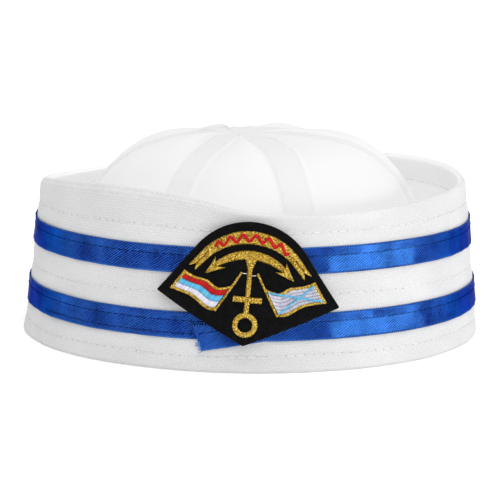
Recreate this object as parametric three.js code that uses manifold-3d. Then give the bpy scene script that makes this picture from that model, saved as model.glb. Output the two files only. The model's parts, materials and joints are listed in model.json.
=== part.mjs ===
// A white cotton sailor cap: a soft crown of sewn gores inside a turned-up brim, two satin ribbons
// sewn round the brim, and a felt badge with a raised embroidered anchor on the front.
// Millimetres, +Z up. The origin is on the surface it stands on, in the middle of its box.
// The front, with the badge, faces -Y. An azimuth is in degrees from the front, positive towards +X.
import * as THREE from "three";
import { TessellateModifier } from "three/addons/modifiers/TessellateModifier.js";
import { mergeVertices } from "three/addons/utils/BufferGeometryUtils.js";
import Module from "manifold-3d";

const wasm = await Module();
wasm.setup();

// Driving dimensions
const GAP = 0.3; // left between pieces that are sewn together
const AXIS_BACK = 2; // the cap's axis lies this far behind the middle of its box, badge included
const FOOT_RADIUS = 96; // outside of the brim where it stands
const BRIM_WALL = 2.6; // two layers of twill with a stiffener between them
const BRIM_LEAN = 5.7 / 64; // how far the wall leans in for each millimetre of height
const CROWN_WALL = 1.5;
const RIBBON_WIDTH = 10.6;
const RIBBON_WALL = 1;
const UPPER_RIBBON_HEIGHT = 44.2; // to the ribbon's middle
const LOWER_RIBBON_HEIGHT = 18.3;
const FELT_WALL = 1.5;
const MOTIF_GAP = 0.25; // between the felt and the embroidery on it
const MOTIF_WALL = 0.8;

// The brim all the way round: how high its rim stands, how far the rim is tucked in, and how far
// the foot is pushed out
const BRIM_FORM = [
  { azimuth: -180, height: 64.0, tuck: 0.5, push: 0.0 },
  { azimuth: -125, height: 60.8, tuck: 0.5, push: 1.0 },
  { azimuth: -90, height: 64.2, tuck: 1.2, push: 1.4 },
  { azimuth: -62, height: 68.6, tuck: 2.4, push: 0.8 },
  { azimuth: -38, height: 70.4, tuck: 3.0, push: 0.2 },
  { azimuth: -18, height: 68.6, tuck: 2.2, push: 0.0 },
  { azimuth: 0, height: 63.2, tuck: 1.0, push: 0.0 },
  { azimuth: 25, height: 61.8, tuck: 0.5, push: 0.0 },
  { azimuth: 60, height: 64.2, tuck: 0.5, push: 0.0 },
  { azimuth: 90, height: 65.6, tuck: 0.5, push: 0.0 },
  { azimuth: 125, height: 67.2, tuck: 0.0, push: 0.0 },
];

// The crown's outside from the foot to the middle of the top, and how far the gores puff out there
const CROWN_PROFILE = [
  { radius: 92.9, height: 0.5, puff: 0.0 },
  { radius: 92.4, height: 6.0, puff: 0.0 },
  { radius: 86.6, height: 20.0, puff: 0.6 },
  { radius: 79.5, height: 36.0, puff: 1.2 },
  { radius: 73.0, height: 50.5, puff: 1.6 },
  { radius: 67.2, height: 61.5, puff: 2.0 },
  { radius: 61.0, height: 68.8, puff: 2.2 },
  { radius: 53.0, height: 74.8, puff: 2.4 },
  { radius: 43.5, height: 79.2, puff: 2.4 },
  { radius: 33.0, height: 81.6, puff: 2.2 },
  { radius: 22.0, height: 83.0, puff: 1.6 },
  { radius: 11.0, height: 83.4, puff: 0.8 },
  { radius: 1.5, height: 83.0, puff: 0.0 },
];

// The flat-felled strips between the gores: where each runs up the crown, and how wide it is
const SEAMS = [
  { azimuth: -28, width: 10.6 },
  { azimuth: 16, width: 13 },
  { azimuth: 81, width: 11 },
  { azimuth: 132, width: 11 },
  { azimuth: 183, width: 11 },
  { azimuth: 228, width: 11 },
  { azimuth: 272, width: 11 },
];

// Where the crown has sunk in: between two heights, and round from its middle
const CROWN_SAGS = [
  { azimuth: -100, spread: 50, from: 45, to: 84, depth: 1.4 },
  { azimuth: 88, spread: 48, from: 34, to: 82, depth: 2.8 },
];

// The badge, in its own flat frame: across, and up from its lowest corner
const BADGE = {
  foot: { arc: -3.45, height: 11.65 }, // where that corner lies on the brim
  tiltDegrees: -5,
  corner: { across: 36.9, up: 17.6 },
  arcCentreUp: 20.5,
  arcRadius: 28,
};

const COLOURS = {
  twill: { color: 0xe9e9e7, roughness: 0.9, metalness: 0 },
  satin: { color: 0x1c46b4, roughness: 0.38, metalness: 0 },
  felt: { color: 0x121214, roughness: 1, metalness: 0 },
  gold: { color: 0xc79a2e, roughness: 0.42, metalness: 0.5 },
  red: { color: 0xc41a1c, roughness: 0.6, metalness: 0 },
  sky: { color: 0x5cbbe0, roughness: 0.6, metalness: 0 },
  white: { color: 0xe3e0ee, roughness: 0.6, metalness: 0 },
};

// Small helpers
const radians = THREE.MathUtils.degToRad;
const smooth = THREE.MathUtils.smoothstep;
const mix = THREE.MathUtils.lerp;
const degrees = THREE.MathUtils.radToDeg;

function onCap(radius, azimuth, height) {
  const angle = radians(azimuth);
  return new THREE.Vector3(radius * Math.sin(angle), -radius * Math.cos(angle), height);
}

function azimuthOf(point) {
  return degrees(Math.atan2(point.x, -point.y));
}

// A column of a table that runs all the way round, as a smooth curve through its rows
function round(rows, column, azimuth) {
  const count = rows.length;
  const turned = THREE.MathUtils.euclideanModulo(azimuth + 180, 360) - 180;
  const next = rows.findIndex((row) => row.azimuth > turned);
  const after = next < 0 ? count : next;
  const knot = (i) => {
    const row = rows[(i + count) % count];
    return { at: row.azimuth + 360 * Math.floor(i / count), value: row[column] };
  };
  const [k0, k1, k2, k3] = [-2, -1, 0, 1].map((step) => knot(after + step));
  const span = k2.at - k1.at;
  const t = (turned - k1.at) / span;
  const slope1 = ((k2.value - k0.value) / (k2.at - k0.at)) * span;
  const slope2 = ((k3.value - k1.value) / (k3.at - k1.at)) * span;
  const rise = k2.value - k1.value;
  const bend = slope1 + slope2 - 2 * rise;
  return k1.value + t * (slope1 + t * (3 * rise - 2 * slope1 - slope2 + t * bend));
}

// Moves every vertex of a geometry and keeps it one closed mesh
function warp(geometry, place) {
  const bare = new THREE.BufferGeometry();
  bare.setAttribute("position", geometry.getAttribute("position"));
  bare.setIndex(geometry.index);
  const position = bare.getAttribute("position");
  const point = new THREE.Vector3();
  for (let i = 0; i < position.count; i += 1) {
    const moved = place(point.fromBufferAttribute(position, i));
    position.setXYZ(i, moved.x, moved.y, moved.z);
  }
  const closed = mergeVertices(bare, 1e-3);
  closed.computeVertexNormals();
  return closed;
}

// A closed geometry as a solid that can be joined to others
function solidOf(geometry) {
  const bare = geometry.clone().deleteAttribute("normal").deleteAttribute("uv");
  const merged = mergeVertices(bare, 1e-4);
  const mesh = new wasm.Mesh({
    numProp: 3,
    vertProperties: merged.getAttribute("position").array,
    triVerts: new Uint32Array(merged.index.array),
  });
  return new wasm.Manifold(mesh);
}

function joined(geometries) {
  const whole = geometries.map(solidOf).reduce((sum, solid) => sum.add(solid));
  const { vertProperties, triVerts } = whole.getMesh();
  const geometry = new THREE.BufferGeometry();
  geometry.setAttribute("position", new THREE.BufferAttribute(vertProperties, 3));
  geometry.setIndex(new THREE.BufferAttribute(triVerts, 1));
  return geometry;
}

function piece(name, geometry, finish) {
  const mesh = new THREE.Mesh(geometry, new THREE.MeshStandardMaterial(finish));
  mesh.name = name;
  return mesh;
}

// Brim: a leaning wall with a round folded rim, whose height changes round the cap
const wallRadius = (height) => FOOT_RADIUS - BRIM_LEAN * height;

// The wall's section at the plain height, from the foot up the outside, over the fold and back down
function brimSection(plainTop) {
  const hemRound = { across: 0.8, up: 2.5 }; // the softened outer edge of the foot
  const heights = [13, 30, 50, 57]; // where the wall has a row of vertices
  const foldSteps = 6;
  const foldRadius = BRIM_WALL / 2;
  const foldHeight = plainTop - foldRadius;
  const foldMiddle = wallRadius(foldHeight) - foldRadius;
  const foot = new THREE.Vector2(wallRadius(0) - hemRound.across, 0);
  const outside = [hemRound.up, ...heights].map((height) => new THREE.Vector2(wallRadius(height), height));
  const fold = Array.from({ length: foldSteps + 1 }, (_, i) => {
    const angle = (Math.PI * i) / foldSteps;
    const over = new THREE.Vector2(Math.cos(angle), Math.sin(angle)).multiplyScalar(foldRadius);
    return over.add(new THREE.Vector2(foldMiddle, foldHeight));
  });
  const inside = [...heights.reverse(), 0].map(
    (height) => new THREE.Vector2(wallRadius(height) - BRIM_WALL, height),
  );
  return [foot, ...outside, ...fold, ...inside, foot.clone()];
}

function brim() {
  const segments = 80;
  const plainTop = 64;
  const freeFrom = 50; // above the upper ribbon the wall follows the rim
  const pushTo = 13; // under the lower ribbon it follows the foot
  const ring = new THREE.LatheGeometry(brimSection(plainTop), segments).rotateX(Math.PI / 2);
  const geometry = warp(ring, (point) => {
    const azimuth = azimuthOf(point);
    const above = Math.max(point.z - freeFrom, 0);
    const stretch = (round(BRIM_FORM, "height", azimuth) - plainTop) / (plainTop - freeFrom);
    const tuck = round(BRIM_FORM, "tuck", azimuth) * smooth(point.z, freeFrom, plainTop);
    const push = round(BRIM_FORM, "push", azimuth) * Math.max(1 - point.z / pushTo, 0);
    return onCap(Math.hypot(point.x, point.y) - tuck + push, azimuth, point.z + above * stretch);
  });
  return piece("brim", geometry, COLOURS.twill);
}

// Crown: gores that puff out, each with a folded edge that is sewn flat over the gore before it
const GORE = 360 / SEAMS.length; // a gore's usual share of the turn
const APEX_SHIFT = { across: -6, within: 45 }; // the seams meet to one side of the middle of the top

// The columns of a gore: where each lies, and its share of the puff
function goreColumns(index, radius) {
  const groove = 1.6; // the stitched dip beside a seam
  const mostSeam = 0.26; // of the gore, near the top, where the seams crowd together
  const inAngle = (length) => degrees(length / radius);
  const half = (seam) => Math.min(inAngle(seam.width / 2), mostSeam * GORE);
  const beside = (seam) => Math.min(half(seam) + inAngle(groove), (mostSeam + 0.08) * GORE);
  const open = Math.min(inAngle(GAP / 2), 0.05 * GORE);
  const first = SEAMS[index];
  const next = SEAMS[(index + 1) % SEAMS.length];
  const end = THREE.MathUtils.euclideanModulo(next.azimuth - first.azimuth, 360);
  const across = (share) => mix(beside(first), end - beside(next), share);
  return [
    { azimuth: -half(first) + open, share: 0, onSeam: true },
    { azimuth: 0, share: 0, onSeam: true },
    { azimuth: half(first), share: 0, onSeam: true },
    { azimuth: beside(first), share: -0.06, onSeam: false },
    { azimuth: across(0.2), share: 0.65, onSeam: false },
    { azimuth: across(0.5), share: 1, onSeam: false },
    { azimuth: across(0.8), share: 0.65, onSeam: false },
    { azimuth: end - beside(next), share: -0.06, onSeam: false },
    { azimuth: end - half(next) - open, share: 0, onSeam: false },
  ];
}

function crownSag(azimuth, height) {
  const { clamp, euclideanModulo, inverseLerp } = THREE.MathUtils;
  const sags = CROWN_SAGS.map((sag) => {
    const turned = euclideanModulo(azimuth - sag.azimuth + 180, 360) - 180;
    const aside = Math.min(Math.abs(turned) / sag.spread, 1);
    const up = clamp(inverseLerp(sag.from, sag.to, height), 0, 1);
    return sag.depth * Math.cos((Math.PI / 2) * aside) ** 2 * Math.sin(Math.PI * up);
  });
  return sags.reduce((sum, sag) => sum + sag, 0);
}

// The crown's section: for each row of the table, the outside and the way in through the cloth
function crownSection() {
  const last = CROWN_PROFILE.length - 1;
  return CROWN_PROFILE.map((row, i) => {
    const before = CROWN_PROFILE[Math.max(i - 1, 0)];
    const after = CROWN_PROFILE[Math.min(i + 1, last)];
    const inwards = new THREE.Vector2(before.height - after.height, after.radius - before.radius);
    if (i === 0) inwards.set(-1, 0); // the cut edge at the foot is level
    return { ...row, inwards: inwards.normalize() };
  });
}

function crownGore(index, section) {
  const seamRise = 0.3; // doubled cloth
  const turnsUp = { from: 55, to: 82 }; // the side of the crown puffs outwards, its top upwards
  const rows = section.length - 1;
  const columns = goreColumns(index, FOOT_RADIUS).length - 1;
  const cloth = new THREE.BoxGeometry(columns, rows, 1, columns, rows, 1);
  const geometry = warp(cloth, (point) => {
    const row = section[Math.round(point.y + rows / 2)];
    const column = goreColumns(index, row.radius)[Math.round(point.x + columns / 2)];
    const azimuth = SEAMS[index].azimuth + column.azimuth;
    const relief = column.onSeam ? Math.min(seamRise, row.puff) : column.share * row.puff;
    const depth = CROWN_WALL * (0.5 - point.z);
    const upwards = smooth(row.height, turnsUp.from, turnsUp.to);
    const side = row.radius - crownSag(azimuth, row.height);
    const radius = side + relief * (1 - upwards) + depth * row.inwards.x;
    const height = row.height + relief * upwards + depth * row.inwards.y;
    const placed = onCap(radius, azimuth, height);
    placed.x += APEX_SHIFT.across * (1 - smooth(row.radius, 0, APEX_SHIFT.within));
    return placed;
  });
  return piece(`crown_gore_${index + 1}`, geometry, COLOURS.twill);
}

function crown() {
  const group = new THREE.Group();
  const section = crownSection();
  SEAMS.forEach((_, index) => group.add(crownGore(index, section)));
  return group;
}

// Ribbons: long flat strips, wound round the brim and sewn down. A strip runs from its start
// towards smaller azimuths, so after one turn its azimuth is 360 less
const RIBBON_STEPS = 80;

function ribbonRadius(middleHeight) {
  return wallRadius(middleHeight) + GAP + RIBBON_WALL / 2;
}

function strip(length) {
  const box = new THREE.BoxGeometry(length, RIBBON_WIDTH, RIBBON_WALL, RIBBON_STEPS, 2, 1);
  return box.translate(length / 2, 0, 0);
}

// Bends a flat strip round the brim. rise and lift move it up and out at an azimuth along it
function wound(flat, middleHeight, startAzimuth, rise, lift) {
  return warp(flat, (point) => {
    const azimuth = startAzimuth - degrees(point.x / ribbonRadius(middleHeight));
    const height = middleHeight + point.y + rise(azimuth);
    const radius = wallRadius(height) + GAP + lift(azimuth) + RIBBON_WALL / 2 - point.z;
    return onCap(radius, azimuth, height);
  });
}

function upperRibbon() {
  const startAzimuth = -2; // its ends meet behind the badge
  const length = 2 * Math.PI * ribbonRadius(UPPER_RIBBON_HEIGHT) - 2 * GAP;
  const level = () => 0;
  const geometry = wound(strip(length), UPPER_RIBBON_HEIGHT, startAzimuth, level, level);
  return piece("ribbon_upper", geometry, COLOURS.satin);
}

function lowerRibbon() {
  const startAzimuth = 3; // behind the badge
  const endAzimuth = -13 - 360; // past the start, where the cut end shows beside the badge
  const climb = { from: 18 - 360, to: 6 - 360 }; // where it climbs onto its own start
  const droop = { from: 2.5 - 360, perDegree: 0.307 }; // the loose end hangs below the line
  const cut = { slant: 0.35, within: 12 }; // the end is cut askew
  const length = ribbonRadius(LOWER_RIBBON_HEIGHT) * radians(startAzimuth - endAzimuth);
  const rise = (azimuth) => -droop.perDegree * Math.max(droop.from - azimuth, 0);
  const lift = (azimuth) => (RIBBON_WALL + GAP) * (1 - smooth(azimuth, climb.to, climb.from));
  const flat = warp(strip(length), (point) => {
    point.x += cut.slant * point.y * smooth(point.x, length - cut.within, length);
    return point;
  });
  const geometry = wound(flat, LOWER_RIBBON_HEIGHT, startAzimuth, rise, lift);
  return piece("ribbon_lower", geometry, COLOURS.satin);
}

// Badge: flat outlines, extruded, then bent onto the brim over the ribbons
const BADGE_STAND = {
  lower: { height: 24, off: 3.0 }, // off the wall over the lapped ribbon, and below this height
  upper: { height: 40, off: 1.7 }, // and over the single one, above this height
};
const LONGEST_EDGE = 7; // of a triangle, so that the bent plates stay round
const MOST_SPLITS = 8;

function ontoBrim(geometry, lift) {
  const { lower, upper } = BADGE_STAND;
  const fine = new TessellateModifier(LONGEST_EDGE, MOST_SPLITS).modify(geometry);
  const tilt = radians(BADGE.tiltDegrees);
  const bendRadius = wallRadius(lower.height) + lower.off;
  return warp(fine, (point) => {
    const arc = BADGE.foot.arc + point.x * Math.cos(tilt) - point.y * Math.sin(tilt);
    const height = BADGE.foot.height + point.x * Math.sin(tilt) + point.y * Math.cos(tilt);
    const off = mix(lower.off, upper.off, smooth(height, lower.height, upper.height));
    return onCap(wallRadius(height) + off + lift + point.z, degrees(arc / bendRadius), height);
  });
}

function plate(shape, thickness) {
  const options = { depth: thickness, bevelEnabled: false, curveSegments: 18 };
  return new THREE.ExtrudeGeometry(shape, options);
}

// An outline through [across, up] points, always anticlockwise
function polygon(points) {
  const outline = points.map(([across, up]) => new THREE.Vector2(across, up));
  return new THREE.Shape(THREE.ShapeUtils.isClockWise(outline) ? outline.reverse() : outline);
}

function felt() {
  const { corner, arcCentreUp, arcRadius } = BADGE;
  const reach = Math.hypot(corner.across, corner.up - arcCentreUp);
  const towards = Math.atan2(corner.up - arcCentreUp, corner.across);
  const tangent = towards + Math.acos(arcRadius / reach);
  const shape = new THREE.Shape();
  shape.moveTo(0, 0);
  shape.lineTo(corner.across, corner.up);
  shape.absarc(0, arcCentreUp, arcRadius, tangent, Math.PI - tangent);
  shape.lineTo(-corner.across, corner.up);
  return piece("badge_felt", ontoBrim(plate(shape, FELT_WALL), 0), COLOURS.felt);
}

// Embroidery: raised plates on the felt. The anchor stands on its ring, with its flukes up
const MOTIF_LIFT = FELT_WALL + MOTIF_GAP;
const SECOND_LIFT = MOTIF_LIFT + MOTIF_WALL + MOTIF_GAP; // stitched over the first layer
const SECOND_WALL = 0.6;

// The sickle between two arcs that share their end points
function crescent(outer, inner, halfSpan) {
  const shape = new THREE.Shape();
  const outerEnd = Math.acos(halfSpan / outer.radius);
  const innerEnd = Math.acos(halfSpan / inner.radius);
  shape.absarc(0, outer.centreUp, outer.radius, outerEnd, Math.PI - outerEnd);
  shape.absarc(0, inner.centreUp, inner.radius, Math.PI - innerEnd, innerEnd, true);
  return shape;
}

function anchor() {
  const ring = { up: 8.4, radius: 5, hole: 2.75 };
  const hoop = new THREE.Shape().absarc(0, ring.up, ring.radius, 0, 2 * Math.PI);
  hoop.holes.push(new THREE.Path().absarc(0, ring.up, ring.hole, 0, 2 * Math.PI));
  const shank = polygon([[-1.1, 12.6], [1.1, 12.6], [1.05, 30.2], [2.6, 34.6], [-2.6, 34.6], [-1.05, 30.2]]);
  const stock = polygon([[-5.5, 17.1], [5.5, 17.1], [5.5, 19.5], [-5.5, 19.5]]);
  const arms = crescent({ centreUp: 17.75, radius: 19.75 }, { centreUp: 10.6, radius: 23.2 }, 15.6);
  const flukes = [-1, 1].map((side) =>
    polygon([[17.6, 26.9], [14.2, 33.6], [13.2, 30.6], [10.1, 29.9]].map(([x, y]) => [side * x, y])),
  );
  const shapes = [hoop, shank, stock, arms, ...flukes];
  const geometry = joined(shapes.map((shape) => plate(shape, MOTIF_WALL)));
  return piece("badge_anchor", ontoBrim(geometry, MOTIF_LIFT), COLOURS.gold);
}

// The banner over the anchor, with forked tails, and a plain wave stitched along it
const BANNER = { outer: { centreUp: 19.7, radius: 25.4 }, inner: { centreUp: 15.5, radius: 24.4 } };

function bannerAt(side, degrees) {
  const angle = radians(degrees);
  return [side.radius * Math.sin(angle), side.centreUp + side.radius * Math.cos(angle)];
}

function banner() {
  const steps = 14;
  const outerReach = 50;
  const innerReach = 40;
  const along = (side, reach) =>
    Array.from({ length: steps + 1 }, (_, i) => bannerAt(side, reach * (1 - (2 * i) / steps)));
  const tail = [[24.8, 29.2], [21.4, 30.6], [21.9, 27.4]];
  const left = tail.map(([x, y]) => [-x, y]);
  const top = along(BANNER.outer, outerReach);
  const bottom = along(BANNER.inner, innerReach).reverse();
  const shape = polygon([...top, ...left, ...bottom, ...[...tail].reverse()]);
  return piece("badge_banner", ontoBrim(plate(shape, MOTIF_WALL), MOTIF_LIFT), COLOURS.gold);
}

function bannerWave() {
  const waves = 6;
  const steps = 60;
  const reach = 36;
  const sway = 1.3;
  const halfStroke = 0.5;
  const edge = (offset) =>
    Array.from({ length: steps + 1 }, (_, i) => {
      const t = i / steps;
      const degrees = reach * (2 * t - 1);
      const [x0, y0] = bannerAt(BANNER.outer, degrees);
      const [x1, y1] = bannerAt(BANNER.inner, degrees);
      const swing = 2 * Math.PI * waves * t;
      const slope = (sway * 2 * Math.PI * waves) / (radians(2 * reach) * BANNER.outer.radius);
      const thick = offset * Math.hypot(1, slope * Math.cos(swing));
      const share = 0.5 + (sway * Math.sin(swing) + thick) / Math.hypot(x0 - x1, y0 - y1);
      return [mix(x1, x0, share), mix(y1, y0, share)];
    });
  const shape = polygon([...edge(halfStroke).reverse(), ...edge(-halfStroke)]);
  return piece("banner_wave", ontoBrim(plate(shape, SECOND_WALL), SECOND_LIFT), COLOURS.red);
}

// Flags: two waving cloths on crossed staffs, the same outline mirrored
const FLAG = {
  staffTop: [3.2, 28.6],
  hoist: { top: [6.1, 23.5], bottom: [12.1, 12.9] },
  fly: { top: [26.4, 26.9], bottom: [31.3, 19.4] },
  border: 1.2,
  // How far each edge hangs below a straight line, at ten equal steps from the staff
  topSag: [0, 1.3, 2.2, 2.7, 1.9, 1.0, 0.9, 1.0, 0.9, 0.5, 0],
  bottomSag: [0, 0.7, 0.9, 0.4, -0.3, -0.75, -0.85, -0.7, -0.4, -0.1, 0],
};

function flagSag(down, along) {
  const at = (edge) => {
    const hang = edge.map((sag, i) => new THREE.Vector2(i, sag));
    return new THREE.SplineCurve(hang).getPoint(along).y;
  };
  return mix(at(FLAG.topSag), at(FLAG.bottomSag), down);
}

// A point of the right-hand flag: down is 0 at its top edge, along is 0 at the staff
function flagPoint(down, along) {
  const { hoist, fly } = FLAG;
  const near = [0, 1].map((i) => mix(hoist.top[i], hoist.bottom[i], down));
  const far = [0, 1].map((i) => mix(fly.top[i], fly.bottom[i], down));
  return [mix(near[0], far[0], along), mix(near[1], far[1], along) - flagSag(down, along)];
}

// The outline of the part of a flag between two heights and two lengths
function flagPatch(side, down, along) {
  const steps = 12;
  const edge = (height) =>
    Array.from({ length: steps + 1 }, (_, i) => {
      const [x, y] = flagPoint(height, mix(along[0], along[1], i / steps));
      return [side * x, y];
    });
  return polygon([...edge(down[0]), ...edge(down[1]).reverse()]);
}

const FIELD = { down: [0.12, 0.88], along: [0.06, 0.94] }; // inside the border

function flagFrame(side, name) {
  const cloth = flagPatch(side, [0, 1], [0, 1]);
  cloth.holes.push(flagPatch(side, FIELD.down, FIELD.along));
  const [topX, topY] = FLAG.staffTop;
  const [footX, footY] = FLAG.hoist.bottom;
  const half = FLAG.border / 2;
  const staff = polygon([
    [side * (topX - half), topY],
    [side * (topX + half), topY + half],
    [side * (footX + half), footY],
    [side * (footX - half), footY - half],
  ]);
  const geometry = joined([plate(cloth, MOTIF_WALL), plate(staff, MOTIF_WALL)]);
  return piece(name, ontoBrim(geometry, MOTIF_LIFT), COLOURS.gold);
}

function flagField(side, down, name, finish) {
  const air = 0.03; // the share of the flag left between neighbours
  const { along } = FIELD;
  const shape = flagPatch(side, [down[0] + air, down[1] - air], [along[0] + air / 2, along[1] - air / 2]);
  return piece(name, ontoBrim(plate(shape, MOTIF_WALL), MOTIF_LIFT), finish);
}

function flagCross(side, name) {
  const halfStroke = 0.5;
  const inset = 0.04;
  const [d0, d1] = [FIELD.down[0] + inset, FIELD.down[1] - inset];
  const [a0, a1] = [FIELD.along[0] + inset, FIELD.along[1] - inset];
  const steps = 6;
  const bar = (from, to) => {
    const edge = (offset) =>
      Array.from({ length: steps + 1 }, (_, i) => {
        const [x, y] = flagPoint(mix(from, to, i / steps), mix(a0, a1, i / steps));
        return [side * x, y + offset];
      });
    return plate(polygon([...edge(halfStroke), ...edge(-halfStroke).reverse()]), SECOND_WALL);
  };
  return piece(name, ontoBrim(joined([bar(d0, d1), bar(d1, d0)]), SECOND_LIFT), COLOURS.sky);
}

function leftFlag() {
  const [top, bottom] = FIELD.down;
  const third = (bottom - top) / 3;
  const stripes = [COLOURS.red, COLOURS.sky, COLOURS.white];
  const names = ["flag_left_red", "flag_left_sky", "flag_left_white"];
  const group = new THREE.Group();
  group.add(flagFrame(-1, "flag_left_frame"));
  stripes.forEach((finish, i) => {
    group.add(flagField(-1, [top + third * i, top + third * (i + 1)], names[i], finish));
  });
  return group;
}

function rightFlag() {
  const group = new THREE.Group();
  group.add(flagFrame(1, "flag_right_frame"));
  group.add(flagField(1, FIELD.down, "flag_right_field", COLOURS.white));
  group.add(flagCross(1, "flag_right_cross"));
  return group;
}

function badge() {
  const group = new THREE.Group();
  group.add(felt(), anchor(), banner(), bannerWave(), leftFlag(), rightFlag());
  return group;
}

const cap = new THREE.Group();
cap.add(brim(), crown(), upperRibbon(), lowerRibbon(), badge());
cap.position.y = AXIS_BACK;

export default cap;
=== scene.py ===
# %% [markdown]
# # A sailor cap
# The frame holds the cap as plain solids at their real size: the gores of a soft crown, a turned-up
# brim, two ribbons, and a felt badge with raised figures. This lesson dresses each of them in cloth
# and thread. Every piece is modelled where its solid lies, so nothing has to be fitted afterwards.

# %% Load the frame
import json
import math

import bmesh
import bpy
import numpy as np
from mathutils import Matrix, Vector

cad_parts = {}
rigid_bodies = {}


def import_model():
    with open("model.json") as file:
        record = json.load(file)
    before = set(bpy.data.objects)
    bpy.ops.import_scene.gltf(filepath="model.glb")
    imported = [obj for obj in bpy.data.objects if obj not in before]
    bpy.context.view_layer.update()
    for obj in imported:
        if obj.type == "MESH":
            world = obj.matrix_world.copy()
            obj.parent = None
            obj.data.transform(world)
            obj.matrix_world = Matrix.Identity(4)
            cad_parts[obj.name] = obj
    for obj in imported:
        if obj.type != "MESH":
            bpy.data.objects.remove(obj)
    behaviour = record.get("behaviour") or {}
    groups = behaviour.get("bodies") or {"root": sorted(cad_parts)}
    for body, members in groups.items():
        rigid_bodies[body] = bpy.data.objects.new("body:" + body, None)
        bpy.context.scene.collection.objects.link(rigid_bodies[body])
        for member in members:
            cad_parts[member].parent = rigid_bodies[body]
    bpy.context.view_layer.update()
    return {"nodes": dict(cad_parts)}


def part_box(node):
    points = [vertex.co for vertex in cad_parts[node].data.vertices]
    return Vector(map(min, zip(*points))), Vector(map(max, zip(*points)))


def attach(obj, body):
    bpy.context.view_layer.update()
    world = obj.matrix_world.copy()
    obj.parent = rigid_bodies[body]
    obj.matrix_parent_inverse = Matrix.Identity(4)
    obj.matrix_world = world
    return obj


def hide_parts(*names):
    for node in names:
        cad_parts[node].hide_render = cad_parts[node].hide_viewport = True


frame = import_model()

MM = 0.001
brim_low, brim_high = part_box("brim")
AXIS_Y = (brim_low[1] + brim_high[1]) / 2
chance = np.random.default_rng(11)
print(f"{len(frame['nodes'])} solids, the cap's axis is {AXIS_Y / MM:.2f} mm behind the origin")

# %% [markdown]
# ## The camera
# The photograph was taken with a long lens from a little above the cap's middle, so the ribbons bow
# down only slightly. The camera could be placed by eye. Here it is worked out from the focal length
# in pixels, because the lens then gives the photograph's own perspective in a square frame.

# %% Camera
FRAME_PIXELS = 500
FOCAL_PIXELS = 2695
CAMERA_DISTANCE = 1.150
CAMERA_ELEVATION = math.radians(9.66)
CAMERA_ROLL = math.radians(0.4)
AIM = Vector((-0.94 * MM, AXIS_Y, 33.1 * MM))

camera_data = bpy.data.cameras.new("camera")
camera_data.sensor_width = 36
camera_data.lens = camera_data.sensor_width * FOCAL_PIXELS / FRAME_PIXELS
camera = bpy.data.objects.new("camera", camera_data)
away = Vector((0, -math.cos(CAMERA_ELEVATION), math.sin(CAMERA_ELEVATION)))
camera.location = AIM + CAMERA_DISTANCE * away
turn_down = Matrix.Rotation(math.pi / 2 - CAMERA_ELEVATION, 3, "X")
camera.rotation_euler = (turn_down @ Matrix.Rotation(CAMERA_ROLL, 3, "Z")).to_euler()
bpy.context.collection.objects.link(camera)
bpy.context.scene.camera = camera
print(f"lens {camera_data.lens:.0f} mm, {CAMERA_DISTANCE} m away")

# %% [markdown]
# ## Shader arithmetic
# A weave is mostly arithmetic on the cloth's own coordinates. The nodes could be linked by hand, but
# a formula is easier to read. Wire stands for a value on its way through a material, and each
# operator on it adds a Math node. Finish makes a material, and its node method makes any other node.


# %% Wire
class Wire:
    """A value on its way through a material."""

    def __init__(self, finish, socket):
        self.finish = finish
        self.socket = socket

    def math(self, operation, *others):
        terms = dict(enumerate((self, *others)))
        return self.finish.node("ShaderNodeMath", {"operation": operation}, terms)

    def __add__(self, other):
        return self.math("ADD", other)

    def __sub__(self, other):
        return self.math("SUBTRACT", other)

    def __mul__(self, other):
        return self.math("MULTIPLY", other)

    def __rsub__(self, other):
        return self.finish.node("ShaderNodeMath", {"operation": "SUBTRACT"}, {0: other, 1: self})

    __radd__ = __add__
    __rmul__ = __mul__

    def wave(self):
        """From 0 to 1 and back once for each whole number."""
        return (self * (2 * math.pi)).math("SINE") * 0.5 + 0.5

    def above(self, low, high):
        """0 below low, 1 above high, and smooth between."""
        settings = {"interpolation_type": "SMOOTHSTEP"}
        sockets = {"Value": self, "From Min": low, "From Max": high}
        return self.finish.node("ShaderNodeMapRange", settings, sockets)


print("Wire adds, subtracts and multiplies")


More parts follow.
